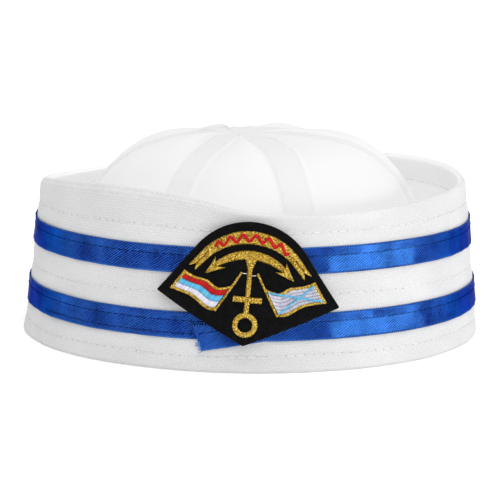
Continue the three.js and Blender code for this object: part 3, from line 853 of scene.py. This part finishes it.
def wound_ribbon(name, length, cut, place):
    """Bends a grid of the given length round the wall. cut slants the far end."""
    bm = bmesh.new()
    bmesh.ops.create_grid(bm, x_segments=RIBBON_ALONG, y_segments=RIBBON_ACROSS, size=0.5)
    flat = np.array([vert.co for vert in bm.verts])
    along, across = (flat[:, 0] + 0.5) * length, flat[:, 1] * RIBBON_WIDTH
    along = along + cut * across * smooth(length - CUT_REACH, length, along)
    move_verts(bm, place(along, across))
    bm.verts.index_update()
    map_cloth(bm, along, across, 10 * length)  # so long a lap that the map never starts again
    bmesh.ops.recalc_face_normals(bm, faces=bm.faces)
    return mesh_from(bm, name)


print(f"ribbons {RIBBON_WIDTH / MM} mm wide")


# %% Upper ribbon
def level(azimuth):
    """Neither rises nor lifts anywhere."""
    return 0 * azimuth


UPPER_START = -2.0
END_GAP = 0.6 * MM
upper_length = 2 * math.pi * (FOOT_RADIUS - WALL_LEAN * UPPER_HEIGHT) - END_GAP


def upper_place(along, across):
    return ribbon_point(along, across, UPPER_HEIGHT, UPPER_START, level, level)


def thicken(piece, thickness):
    """Gives a strip of cloth its thickness, outwards from the wall."""
    solid = piece.modifiers.new("thickness", "SOLIDIFY")
    solid.thickness = thickness
    solid.offset = 1.0


upper_mesh = wound_ribbon("upper_ribbon", upper_length, 0, upper_place)
upper_ribbon = add_piece("upper_ribbon", upper_mesh, blue_satin, "blue_satin", "ribbon_upper")
thicken(upper_ribbon, RIBBON_WALL)

# %% Lower ribbon
LOWER_START = 3.0
LOWER_END = -13.0 - 360
CLIMB_FROM, CLIMB_TO = 18.0 - 360, 6.0 - 360
DROOP_FROM = 2.5 - 360
DROOP_PER_DEGREE = 0.307 * MM
LAP_LIFT = 0.75 * MM
END_CUT = 0.35
lower_length = (FOOT_RADIUS - WALL_LEAN * LOWER_HEIGHT) * math.radians(LOWER_START - LOWER_END)


def droop(azimuth):
    """The loose end hangs lower the further it goes."""
    return -DROOP_PER_DEGREE * np.maximum(DROOP_FROM - azimuth, 0)


def lap(azimuth):
    """The end climbs over the ribbon's own start."""
    return LAP_LIFT * (1 - smooth(CLIMB_TO, CLIMB_FROM, azimuth))


def lower_place(along, across):
    return ribbon_point(along, across, LOWER_HEIGHT, LOWER_START, droop, lap)


lower_mesh = wound_ribbon("lower_ribbon", lower_length, END_CUT, lower_place)
lower_ribbon = add_piece("lower_ribbon", lower_mesh, blue_satin, "blue_satin", "ribbon_lower")
thicken(lower_ribbon, RIBBON_WALL)

# %% [markdown]
# ## Threads
# Machine stitches and embroidery are both short lengths of thread. They could be drawn in a bump map,
# but real threads catch the light one by one. One rod is modelled, and each thread is a bent copy of
# it, all joined into one mesh with numpy, because there are a few thousand of them. Each thread
# carries a shade of its own, which its finish reads.

# %% One rod, many threads
ROD_SIDES, ROD_CUTS = 6, 4
ROD_END = 0.5  # how thick a thread still is at its ends


def unit_rod():
    """A rod along X from 0 to 1, narrowed at its ends, as points and faces."""
    bm = bmesh.new()
    turn = Matrix.Translation((0.5, 0, 0)) @ Matrix.Rotation(math.pi / 2, 4, "Y")
    sizes = {"segments": ROD_SIDES, "radius1": 1, "radius2": 1, "depth": 1}
    bmesh.ops.create_cone(bm, cap_ends=True, matrix=turn, **sizes)
    sides = [edge for edge in bm.edges if abs(edge.verts[0].co.x - edge.verts[1].co.x) > 0.5]
    bmesh.ops.subdivide_edges(bm, edges=sides, cuts=ROD_CUTS, use_grid_fill=True)
    bmesh.ops.recalc_face_normals(bm, faces=bm.faces)
    bm.verts.index_update()
    points = np.array([vert.co for vert in bm.verts])
    at_end = (points[:, 0] < 0.01) | (points[:, 0] > 0.99)
    points[at_end, 1:] *= ROD_END
    faces = [[vert.index for vert in face.verts] for face in bm.faces]
    bm.free()
    return points, faces


ROD_POINTS, ROD_FACES = unit_rod()


def unit(vectors):
    """The same directions, one long."""
    return vectors / np.linalg.norm(vectors, axis=-1, keepdims=True)


def threads(starts, ends, outwards, thickness, arch):
    """Points of one bent rod from each start to each end, rising by arch in its middle."""
    along = ends - starts
    sideways = unit(np.cross(outwards, along))
    share, side, up = (ROD_POINTS[None, :, column, None] for column in range(3))
    bow = 4 * share * (1 - share) * np.asarray(arch).reshape(-1, 1, 1)
    lift = up * thickness + bow
    middles = starts[:, None] + along[:, None] * share
    return middles + sideways[:, None] * side * thickness + outwards[:, None] * lift


def thread_mesh(name, points, shades):
    """Joins threads into one mesh: points is (threads, rod points, 3)."""
    count, size, _ = points.shape
    firsts = range(0, count * size, size)
    faces = [[first + corner for corner in face] for first in firsts for face in ROD_FACES]
    mesh = bpy.data.meshes.new(name)
    mesh.from_pydata(points.reshape(-1, 3), [], faces)
    layer = mesh.attributes.new("shade", "FLOAT", "POINT")
    layer.data.foreach_set("value", np.repeat(np.asarray(shades, dtype=np.float32), size))
    mesh.validate()
    return mesh


print(f"a rod has {len(ROD_FACES)} faces")

# %% [markdown]
# ## Sorts of thread
# Embroidery thread is spun and softly shiny, and sewing thread is duller. Gold thread is a core wrapped
# in foil, which flashes where it faces the light. One metal colour could do for it, but then it looks
# cast. So noise about as fine as a thread sets bright flecks, painted glints of the foil, beside dark
# gaps.


# %% Thread finishes
def thread_finish(name, dark, light, roughness, sheen, specular):
    """A twisted thread: its own shade, and fine bright and dark flecks."""
    finish = Finish(name)
    fleck = finish.grain(2600.0)
    blend = (finish.shade() * 0.75 + fleck * 0.55 - 0.15).above(0.0, 1.0)
    tone = finish.mix(dark, light, blend)
    normal = finish.bump(fleck, 0.4, 0.05 * MM)
    look = {"Base Color": tone, "Roughness": roughness + 0.18 * (1 - fleck), "Normal": normal}
    look |= {"Sheen Weight": sheen, "Sheen Roughness": 0.4, "Specular IOR Level": specular}
    return finish.surface(look)


def gold_finish():
    """Gold-wrapped thread: bright flecks painted in as painted glints of its foil, and dark gaps."""
    finish = Finish("gold_thread")
    fleck, grain = finish.grain(2100.0), finish.grain(900.0, detail=1.0)
    tone = finish.mix(colour(150, 112, 20), colour(214, 172, 48), finish.shade() * 0.6 + grain * 0.4)
    tone = finish.mix(tone, colour(84, 60, 8), (1 - fleck).above(0.52, 0.64))
    # painted glints: bright flecks of foil put into the base colour
    tone = finish.mix(tone, colour(255, 236, 130), fleck.above(0.55, 0.65))
    normal = finish.bump(fleck, 0.7, 0.08 * MM)
    look = {"Base Color": tone, "Roughness": 0.28 + 0.2 * grain, "Normal": normal}
    return finish.surface({**look, "Metallic": 0.6})


gold_thread = gold_finish()
red_thread = thread_finish("red_thread", colour(126, 2, 4), colour(212, 14, 16), 0.5, 0.03, 0.25)
sky_thread = thread_finish("sky_thread", colour(46, 146, 198), colour(112, 204, 238), 0.45, 0.1, 0.4)
white_thread = thread_finish("white_thread", colour(186, 182, 206), colour(240, 238, 248), 0.5, 0.2, 0.4)
# its dark tone mostly serves the needle holes, as painted shade
seam_thread_and_hole_shade = thread_finish("seam_thread_and_hole_shade", colour(110, 110, 112), colour(250, 250, 250), 0.8, 0.1, 0.4)
navy_thread = thread_finish("navy_thread", colour(2, 8, 40), colour(8, 24, 84), 0.8, 0.0, 0.0)
fray_thread = thread_finish("fray_thread", colour(8, 40, 130), colour(90, 150, 226), 0.5, 0.05, 0.3)
print("threads ready")

# %% [markdown]
# ## Rows of stitches
# A lockstitch leaves a dash of thread, a needle hole, and the next dash. On the white cloth the thread
# hardly shows, but the holes do, as a row of small dark points, which are painted shade: flat dark
# marks. Both are laid on the surface that they are sewn through, which is asked for the place of each
# stitch.

# %% Stitching
STITCH_PITCH = 3.9 * MM
DASH_SHARE = 0.80  # of the pitch, where the thread lies on top
STITCH_THICK = 0.14 * MM
HOLE_SHADE_LENGTH = 0.45 * MM
HOLE_SHADE_THICK = 0.12 * MM


def outward_of(points):
    """Level and away from the cap's axis."""
    level_out = points - np.array([0, AXIS_Y, 0])
    level_out[:, 2] = 0
    return unit(level_out)


def sewn_line(surface, length, pitch, outwards=outward_of, with_hole_shade=True, thickness=STITCH_THICK):
    """Stitches along a line: surface gives the points at distances along it."""
    count = round(length / pitch)
    begin = (np.arange(count) + 0.5 * (1 - DASH_SHARE)) * length / count
    finish = begin + DASH_SHARE * length / count
    starts, ends = surface(begin), surface(finish)
    sizes = np.full(count, 0.5 * thickness)
    dashes = threads(starts, ends, outwards(starts), thickness, sizes)
    shades = chance.uniform(0.75, 1.0, count)
    if not with_hole_shade:
        return dashes, shades
    gap = 0.5 * HOLE_SHADE_LENGTH
    middles = (finish + 0.5 * (1 - DASH_SHARE) * length / count) % length
    before, after = surface(middles - gap), surface(middles + gap)
    # painted shade: each needle hole is a flat dark mark laid on the cloth
    hole_shade_marks = threads(before, after, outwards(surface(middles)), HOLE_SHADE_THICK, 0 * sizes)
    return np.concatenate([dashes, hole_shade_marks]), np.concatenate([shades, chance.uniform(0.0, 0.6, count)])


def sew(name, lines, material, slot):
    """Makes all the lines of one sort a piece."""
    points, shades = (np.concatenate(parts) for parts in zip(*lines))
    add_piece(name, thread_mesh(name, points, shades), material, slot)


print(f"stitches {STITCH_PITCH / MM} mm long")


# %% Brim stitches
def brim_row(row, depth):
    """The line of a row of stitches round the brim."""
    def surface(distance):
        azimuth = np.degrees(distance / FOOT_RADIUS) - 180
        return brim_point(azimuth, row_height(row, azimuth), np.full_like(azimuth, depth))
    return surface


JUST_OUTSIDE, JUST_INSIDE = -0.03, 1.03
brim_lines = [sewn_line(brim_row(row, JUST_OUTSIDE), brim_lap, STITCH_PITCH) for row in ROW_HEIGHTS]
brim_lines += [sewn_line(brim_row(row, JUST_INSIDE), brim_lap, STITCH_PITCH) for row in ROW_HEIGHTS[1:]]
sew("brim_stitches", brim_lines, seam_thread_and_hole_shade, "white_thread")


# %% Ribbon stitches
RIBBON_STITCH = 3.4 * MM
RIBBON_THREAD = 0.17 * MM
SEWN_ACROSS, SECOND_ACROSS = SEWN_SHARE * RIBBON_WIDTH, -0.30 * RIBBON_WIDTH
SECOND_FROM, SECOND_TO = 24 * MM, 110 * MM


def sewn_ribbon(place, across, start, end):
    """A line of stitches on a ribbon's face, between two distances along it."""
    def surface(distance):
        points = place(distance + start, np.full_like(distance, across))
        return points + outward_of(points) * RIBBON_WALL
    return sewn_line(surface, end - start, RIBBON_STITCH, with_hole_shade=False, thickness=RIBBON_THREAD)


ribbon_lines = [
    sewn_ribbon(upper_place, SEWN_ACROSS, 0, upper_length),
    sewn_ribbon(lower_place, SEWN_ACROSS, 0, lower_length),
    sewn_ribbon(lower_place, SECOND_ACROSS, SECOND_FROM, SECOND_TO),
]
sew("ribbon_stitches", ribbon_lines, navy_thread, "blue_satin")

# %% Crown stitches
CROWN_STITCH = 3.2 * MM
CROWN_THREAD = 0.09 * MM
STITCH_INSET = 1.1 * MM
THREAD_STAND = -0.05 * MM  # a depth, so the thread lies just outside the cloth
CROWN_SEWN = np.linspace(1.2, 10.4, 400)


def point_at(points, length, at):
    """A line of points, read at distances along it."""
    return np.stack([np.interp(at, length, column) for column in points.T], axis=-1)


def crown_line(seam, side):
    """The line of stitches along one side of a seam, and its length."""
    radius = crown_column("radius", CROWN_SEWN)
    strip, _ = seam_angles(seam, radius)
    share = side * STRIP_SHARE * (1 - np.degrees(STITCH_INSET / radius) / strip)
    path = crown_point(share, seam, CROWN_SEWN, np.full_like(share, THREAD_STAND))
    length = walked(path)
    return lambda distance: point_at(path, length, distance), length[-1]


def crown_outwards(points):
    """Away from the dome: level at its foot, and upwards at its top."""
    up_share = smooth(20 * MM, 83 * MM, points[:, 2])[:, None]
    return unit(outward_of(points) * (1 - 0.95 * up_share) + np.array([0, 0, 1.0]) * (0.3 + up_share))


crown_lines = []
for seam_number in range(GORES):
    for seam_side in (-1, 1):
        seam_line = crown_line(seam_number, seam_side)
        crown_lines.append(sewn_line(*seam_line, CROWN_STITCH, crown_outwards, False, CROWN_THREAD))
sew("crown_stitches", crown_lines, seam_thread_and_hole_shade, "white_thread")

# %% [markdown]
# ## The felt of the badge
# The badge is a fan of black felt, cut with crisp edges and sewn on over both ribbons, a few degrees
# off level. It is drawn flat, in millimetres from its lowest corner, and bent onto the wall. A grid
# is drawn out to the fan's outline, column by column, so its edges stay clean when it bends.

# %% Badge form
BADGE_ARC, BADGE_HEIGHT = -3.45 * MM, 11.65 * MM
BADGE_TILT = math.radians(-5)
LOW_STAND, LOW_STAND_TO = 3.0 * MM, 24 * MM
HIGH_STAND, HIGH_STAND_FROM = 1.7 * MM, 40 * MM
BEND_RADIUS = FOOT_RADIUS - WALL_LEAN * LOW_STAND_TO + LOW_STAND
FELT_WALL = 1.5  # in millimetres, as all measures in the badge's flat frame


def on_badge(flat):
    """Bends points of the badge onto the wall: across, up and off the wall, in millimetres."""
    across, up, off = (flat[..., axis] * MM for axis in range(3))
    arc = BADGE_ARC + across * math.cos(BADGE_TILT) - up * math.sin(BADGE_TILT)
    height = BADGE_HEIGHT + across * math.sin(BADGE_TILT) + up * math.cos(BADGE_TILT)
    stand = LOW_STAND + (HIGH_STAND - LOW_STAND) * smooth(LOW_STAND_TO, HIGH_STAND_FROM, height)
    radius = FOOT_RADIUS - WALL_LEAN * height + stand + off
    return on_cap(radius, np.degrees(arc / BEND_RADIUS), height)


CORNER_ACROSS, CORNER_UP = 36.9, 17.6
ARC_UP, ARC_RADIUS = 20.5, 28.0


def fan_top(across):
    """The upper edge of the fan: an arc, and straight shoulders that leave it without a corner."""
    reach = math.hypot(CORNER_ACROSS, CORNER_UP - ARC_UP)
    tangent = math.atan2(CORNER_UP - ARC_UP, CORNER_ACROSS) + math.acos(ARC_RADIUS / reach)
    meet_across, meet_up = ARC_RADIUS * math.cos(tangent), ARC_UP + ARC_RADIUS * math.sin(tangent)
    off = np.abs(across)
    arc = ARC_UP + np.sqrt(np.maximum(ARC_RADIUS**2 - np.minimum(off, meet_across) ** 2, 0))
    shoulder = meet_up + (off - meet_across) * (CORNER_UP - meet_up) / (CORNER_ACROSS - meet_across)
    return np.where(off < meet_across, arc, shoulder)


def fan_foot(across):
    """The lower edge of the fan: two straight lines from its lowest corner."""
    return np.abs(across) * CORNER_UP / CORNER_ACROSS


print(f"a fan {2 * CORNER_ACROSS} mm wide and {ARC_UP + ARC_RADIUS} mm high")


# %% Felt finish
def felt_finish():
    """Matted fibres: no gloss, and a grain at two sizes."""
    finish = Finish("black_felt")
    fibre, matted = finish.grain(2200.0, detail=4.0), finish.grain(420.0, detail=3.0)
    tuft = (fibre * 0.6 + matted * 0.4).above(0.35, 0.75)
    tone = finish.mix(colour(6, 6, 7), colour(20, 20, 22), tuft)
    normal = finish.bump(fibre * 0.6 + matted * 0.6, 0.55, 0.15 * MM)
    look = {"Base Color": tone, "Roughness": 1.0, "Normal": normal, "Specular IOR Level": 0.08}
    return finish.surface({**look, "Sheen Weight": 0.02, "Sheen Roughness": 0.6})


black_felt = felt_finish()
print("felt ready")

# %% Felt patch
FELT_COLUMNS, FELT_ROWS = 120, 60
FELT_BEVEL = 0.3
SHARP = 1.0  # radians, the least angle of an edge that is rounded
felt_bm = bmesh.new()
bmesh.ops.create_grid(felt_bm, x_segments=FELT_COLUMNS, y_segments=FELT_ROWS, size=0.5)
felt_flat = np.array([vert.co for vert in felt_bm.verts])
felt_across = 2 * CORNER_ACROSS * felt_flat[:, 0]
felt_share = felt_flat[:, 1] + 0.5
felt_up = fan_foot(felt_across) + felt_share * (fan_top(felt_across) - fan_foot(felt_across))
move_verts(felt_bm, np.stack([felt_across, felt_up, 0 * felt_up], axis=-1))
bmesh.ops.remove_doubles(felt_bm, verts=felt_bm.verts, dist=0.01)
bmesh.ops.recalc_face_normals(felt_bm, faces=felt_bm.faces)
if sum(face.normal.z for face in felt_bm.faces) < 0:
    bmesh.ops.reverse_faces(felt_bm, faces=felt_bm.faces)
bmesh.ops.solidify(felt_bm, geom=felt_bm.faces, thickness=-FELT_WALL)
felt_edges = [edge for edge in felt_bm.edges if edge.is_manifold and edge.calc_face_angle() > SHARP]
rounding = {"offset": FELT_BEVEL, "segments": 2, "profile": 0.5, "affect": "EDGES", "material": -1}
bmesh.ops.bevel(felt_bm, geom=felt_edges, **rounding)
felt_off = np.array([vert.co for vert in felt_bm.verts])
felt_off[:, 2] -= felt_off[:, 2].min()
move_verts(felt_bm, on_badge(felt_off))
felt_mesh = mesh_from(felt_bm, "badge_felt_patch")
felt = add_piece("badge_felt_patch", felt_mesh, black_felt, "black_felt", "badge_felt")

# %% [markdown]
# ## Satin stitch
# Each figure on the badge is satin stitch: threads laid side by side across a shape, from one edge to
# the other. So a figure is a list of pairs of rails, like the sides of a ladder, and the threads are
# its rungs. Slight differences between the rungs keep it from looking printed.

# %% Ladders of thread
THREAD_THICK = 0.21
THREAD_PITCH = 0.30
MOTIF_OFF = FELT_WALL + 0.12
SECOND_OFF = MOTIF_OFF + 0.75
UNEVEN = 0.10  # how much higher one thread may lie than its neighbours
ARCH_LEAST, ARCH_MORE, ARCH_MOST = 0.16, 0.12, 0.5  # wider shapes are rounder, up to a limit


def evenly(rail, count):
    """A rail of (across, up) points, walked in even steps, and its length."""
    rail = np.asarray(rail, dtype=float)
    length = walked(rail)
    return point_at(rail, length, np.linspace(0, length[-1], count)), length[-1]


def ladder(first, second, off, pitch=THREAD_PITCH, overrun=-0.08):
    """Threads from one rail to the other, in the badge's flat frame."""
    longest = max(evenly(first, 2)[1], evenly(second, 2)[1])
    count = max(3, round(longest / pitch))
    starts, _ = evenly(first, count)
    ends, _ = evenly(second, count)
    way = ends - starts
    width = np.linalg.norm(way, axis=1, keepdims=True)
    way = way / np.maximum(width, 0.05)
    starts = starts - way * chance.uniform(0.2, 1.0, (count, 1)) * overrun
    ends = ends + way * chance.uniform(0.2, 1.0, (count, 1)) * overrun
    heights = off + chance.uniform(0, UNEVEN, count)
    starts, ends = np.column_stack([starts, heights]), np.column_stack([ends, heights])
    arch = np.minimum(ARCH_LEAST + ARCH_MORE * width[:, 0], ARCH_MOST)
    outwards = np.tile([0.0, 0.0, 1.0], (count, 1))
    return threads(starts, ends, outwards, THREAD_THICK, arch), chance.uniform(0.3, 1.0, count)


def embroider(name, ladders, material, slot, node):
    """Makes all the ladders of one figure a piece, bent onto the wall."""
    rungs, shades = (np.concatenate(parts) for parts in zip(*ladders))
    add_piece(name, thread_mesh(name, on_badge(rungs), shades), material, slot, node)


def arc_rail(centre_up, radius, from_degrees, to_degrees, steps=40):
    """An arc about a point of the badge's middle line, measured from straight up."""
    angle = np.radians(np.linspace(from_degrees, to_degrees, steps))
    return np.stack([radius * np.sin(angle), centre_up + radius * np.cos(angle)], axis=-1)


def mirrored(rail):
    """The same rail on the other side of the badge's middle line."""
    return np.asarray(rail) * np.array([-1, 1])


def both_sides(rails, off):
    """A ladder right of the middle line, and the same one left of it."""
    return [ladder(*rails, off), ladder(*(mirrored(rail) for rail in rails), off)]


print(f"threads {THREAD_PITCH} mm apart")

# %% [markdown]
# ## The anchor
# The anchor stands on its ring, with its arms and their barbed ends at the top. It could be one
# outline that is filled in one direction, but an embroiderer turns the thread with each part. So
# the arms, the shank, the stock, the ring and the barbs are ladders of their own, a little above
# each other where they cross.

# %% Anchor
ARMS_OUT = {"centre_up": 17.75, "radius": 19.75}
ARMS_IN = {"centre_up": 10.6, "radius": 23.2}
ARMS_SPAN = 15.6
RING_UP, RING_OUT, RING_IN = 8.4, 5.0, 2.75
RING_SPAN = (0, 355)
SHANK_LEFT = [(-2.6, 34.4), (-1.05, 30.2), (-1.1, 12.8)]
STOCK_LOW, STOCK_HIGH = [(-5.5, 17.1), (5.5, 17.1)], [(-5.5, 19.5), (5.5, 19.5)]
SHANK_OFF, FLUKE_OFF, STOCK_OFF = MOTIF_OFF + 0.1, MOTIF_OFF + 0.15, MOTIF_OFF + 0.2


def arms_rail(arc):
    """An edge of the two arms, from tip to tip."""
    reach = math.degrees(math.asin(ARMS_SPAN / arc["radius"]))
    return arc_rail(arc["centre_up"], arc["radius"], -reach, reach)


FLUKE_TIP, FLUKE_NOTCH = (17.7, 26.8), (14.3, 29.7)
FLUKE_BARBS = [(14.2, 33.7), (10.0, 29.8)]
anchor_ladders = [
    ladder(arms_rail(ARMS_IN), arms_rail(ARMS_OUT), MOTIF_OFF),
    ladder(SHANK_LEFT, mirrored(SHANK_LEFT), SHANK_OFF),
    ladder(STOCK_LOW, STOCK_HIGH, STOCK_OFF),
    ladder(arc_rail(RING_UP, RING_IN, *RING_SPAN), arc_rail(RING_UP, RING_OUT, *RING_SPAN), MOTIF_OFF),
]
for barb in FLUKE_BARBS:
    anchor_ladders += both_sides(([FLUKE_TIP, FLUKE_NOTCH], [FLUKE_TIP, barb]), FLUKE_OFF)
embroider("anchor_stitching", anchor_ladders, gold_thread, "gold_thread", "badge_anchor")

# %% [markdown]
# ## The banner
# A gold band bows over the anchor, with forked ends and a red line that waves along it. The wave
# could be painted on, but it is sewn over the gold, so it is a second layer of threads, each across
# the line's own direction.

# %% Banner
BANNER_OUT = {"centre_up": 19.7, "radius": 25.4, "reach": 50}
BANNER_IN = {"centre_up": 15.5, "radius": 24.4, "reach": 40}
TAIL_TIPS = [(24.8, 29.2), (21.9, 27.4)]
TAIL_NOTCH = (21.4, 30.6)


def banner_rail(arc, reach=None):
    """An edge of the banner, or a shorter part of it."""
    reach = reach or arc["reach"]
    return arc_rail(arc["centre_up"], arc["radius"], -reach, reach)


banner_out, banner_in = banner_rail(BANNER_OUT), banner_rail(BANNER_IN)
tail_root = (banner_out[-1] + banner_in[-1]) / 2
banner_ladders = [ladder(banner_in, banner_out, MOTIF_OFF)]
for edge, tip in zip((banner_out[-1], banner_in[-1]), TAIL_TIPS):
    banner_ladders += both_sides(([edge, tip], [tail_root, TAIL_NOTCH]), MOTIF_OFF)
embroider("banner_stitching", banner_ladders, gold_thread, "gold_thread", "badge_banner")

# %% Wave on the banner
WAVES, WAVE_SWAY, WAVE_HALF, WAVE_REACH = 6, 1.3, 0.62, 36
WAVE_STEPS = 160
out_even, _ = evenly(banner_rail(BANNER_OUT, WAVE_REACH), WAVE_STEPS)
in_even, _ = evenly(banner_rail(BANNER_IN, WAVE_REACH), WAVE_STEPS)
across_band = unit(out_even - in_even)
swing = np.sin(2 * math.pi * WAVES * np.linspace(0, 1, WAVE_STEPS))[:, None]
wave_middle = (out_even + in_even) / 2 + across_band * swing * WAVE_SWAY
wave_way = unit(np.gradient(wave_middle, axis=0))
wave_side = np.stack([-wave_way[:, 1], wave_way[:, 0]], axis=-1) * WAVE_HALF
wave_ladder = ladder(wave_middle - wave_side, wave_middle + wave_side, SECOND_OFF)
embroider("wave_stitching", [wave_ladder], red_thread, "red_thread", "banner_wave")

# %% [markdown]
# ## The flags
# Two small flags hang from slanting staffs, each with a gold border that waves. The left one has three
# stripes, and the right one a thin pale field under a slanting cross. They could be drawn in straight
# lines and bent by hand, but one sag for both edges bends every line between them alike.

# %% Flag form
STAFF_TOP = (3.2, 28.6)
HOIST = np.array([(6.1, 23.5), (12.1, 12.9)])
FLY = np.array([(26.4, 26.9), (31.3, 19.4)])
TOP_SAG = [0, 1.3, 2.2, 2.7, 1.9, 1.0, 0.9, 1.0, 0.9, 0.5, 0]
BOTTOM_SAG = [0, 0.7, 0.9, 0.4, -0.3, -0.75, -0.85, -0.7, -0.4, -0.1, 0]
FIELD_DOWN, FIELD_ALONG = (0.115, 0.885), (0.06, 0.932)
LEFT, RIGHT = -1, 1
STAFF_HALF, STAFF_OFF = np.array([0.48, 0.27]), MOTIF_OFF + 0.1
FILL_OFF = MOTIF_OFF - 0.05
BORDER_OVERRUN, FILL_OVERRUN = 0.12, 0.05


def flag_sag(down, along):
    """How far a waving flag hangs below straight lines, from its two edges."""
    top, bottom = (curve(sag, along * (len(sag) - 1)) for sag in (TOP_SAG, BOTTOM_SAG))
    return top + (bottom - top) * down


def flag_rail(side, down, along, steps=30):
    """A line across a flag: down is 0 at its top edge, along is 0 at the staff."""
    down, along = np.linspace(*down, steps)[:, None], np.linspace(*along, steps)[:, None]
    near, far = HOIST[0] + (HOIST[1] - HOIST[0]) * down, FLY[0] + (FLY[1] - FLY[0]) * down
    sag = flag_sag(down, along)
    rail = near + (far - near) * along - np.hstack([0 * sag, sag])
    return rail * np.array([side, 1])


def flag_border(side):
    """The top, bottom and fly of a flag's border, and its staff."""
    (top, bottom), far = FIELD_DOWN, FIELD_ALONG[1]
    outer_lines = [((0, 0), (0, 1)), ((1, 1), (0, 1)), ((0, 1), (1, 1))]
    inner_lines = [((top, top), (0, far)), ((bottom, bottom), (0, far)), ((0, 1), (far, far))]
    border = []
    for outer, inner in zip(outer_lines, inner_lines):
        rails = flag_rail(side, *outer), flag_rail(side, *inner)
        border.append(ladder(*rails, MOTIF_OFF, overrun=BORDER_OVERRUN))
    staff = np.array([STAFF_TOP, HOIST[1]])
    staff_rails = ((staff + step) * [side, 1] for step in (-STAFF_HALF, STAFF_HALF))
    return [*border, ladder(*staff_rails, STAFF_OFF)]


def flag_fill(side, down, pitch=THREAD_PITCH):
    """Threads that hang from one line of a flag to another."""
    top = flag_rail(side, (down[0], down[0]), FIELD_ALONG)
    bottom = flag_rail(side, (down[1], down[1]), FIELD_ALONG)
    return ladder(top, bottom, FILL_OFF, pitch, FILL_OVERRUN)


print(f"flags {FLY[1][0] - HOIST[0][0]:.1f} mm long")

# %% Borders and stripes
embroider("left_flag_border", flag_border(LEFT), gold_thread, "gold_thread", "flag_left_frame")
embroider("right_flag_border", flag_border(RIGHT), gold_thread, "gold_thread", "flag_right_frame")
STRIPES = [("red", red_thread), ("sky", sky_thread), ("white", white_thread)]
third = (FIELD_DOWN[1] - FIELD_DOWN[0]) / len(STRIPES)
for number, (stripe, stripe_thread) in enumerate(STRIPES):
    span = (FIELD_DOWN[0] + third * number, FIELD_DOWN[0] + third * (number + 1))
    rungs = [flag_fill(LEFT, span)]
    embroider(f"left_flag_{stripe}", rungs, stripe_thread, f"{stripe}_thread", f"flag_left_{stripe}")

# %% Right flag field, its cross and the jump stitches
SPARSE_PITCH, SPARSE_ROWS = 0.52, 5
CROSS_HALF, CROSS_OFF = 0.42, SECOND_OFF - 0.2
JUMP_OFF, JUMP_THICK, JUMP_ARCH = MOTIF_OFF + 0.3, 0.14, 0.2
JUMPS = [((-3.1, 28.4), (-1.1, 28.4)), ((1.0, 27.8), (2.7, 27.9))]
jump_off = np.full((len(JUMPS), 1), JUMP_OFF)
jump_starts, jump_ends = (np.hstack([ends, jump_off]) for ends in np.array(JUMPS).swapaxes(0, 1))
jump_out = np.tile([0.0, 0.0, 1.0], (len(JUMPS), 1))
jump_rods = threads(jump_starts, jump_ends, jump_out, JUMP_THICK, np.full(len(JUMPS), JUMP_ARCH))
sparse_downs = np.linspace(*FIELD_DOWN, SPARSE_ROWS + 1)
field_ladders = [flag_fill(RIGHT, span, SPARSE_PITCH) for span in zip(sparse_downs, sparse_downs[1:])]
field_ladders.append((jump_rods, np.ones(len(JUMPS))))
embroider("right_flag_field", field_ladders, white_thread, "white_thread", "flag_right_field")

cross_ladders = []
for down in (FIELD_DOWN, FIELD_DOWN[::-1]):
    ends = flag_rail(RIGHT, down, FIELD_ALONG)[[0, -1]]
    way = unit(ends[1] - ends[0])
    side_step = CROSS_HALF * np.array([-way[1], way[0]])
    cross_ladders.append(ladder(ends + side_step, ends - side_step, CROSS_OFF))
embroider("right_flag_cross", cross_ladders, sky_thread, "sky_thread", "flag_right_cross")

# %% [markdown]
# ## The frayed end
# Where the lower ribbon is cut, a few of its threads have worked loose. They could be left to the
# finish, but from the side the cut would look too clean. So they are the same bent rods, laid from
# the cut edge outwards with a little chance in their length and direction.

# %% Loose threads at the cut
FRAYS = 16
FRAY_ROOT, FRAY_THICK = 0.6 * MM, 0.10 * MM
fray_across = np.linspace(-0.5, -0.12, FRAYS) * RIBBON_WIDTH
fray_root = lower_length + END_CUT * fray_across
fray_starts = lower_place(fray_root - FRAY_ROOT, fray_across)
fray_reach = chance.uniform(0.4, 2.0, FRAYS) * MM
fray_drift = chance.normal(0, 0.5, FRAYS) * MM
fray_ends = lower_place(fray_root + fray_reach, fray_across + fray_drift)
fray_out = outward_of(fray_starts)
fray_lift = fray_out * RIBBON_WALL
fray_bow = chance.uniform(0.0, 0.25, FRAYS) * MM
fray_starts, fray_ends = fray_starts + fray_lift, fray_ends + 0.5 * fray_lift
fray_rods = threads(fray_starts, fray_ends, fray_out, FRAY_THICK, fray_bow)
frays = thread_mesh("ribbon_frays", fray_rods, chance.uniform(0.2, 1.0, FRAYS))
add_piece("ribbon_frays", frays, fray_thread, "blue_satin")
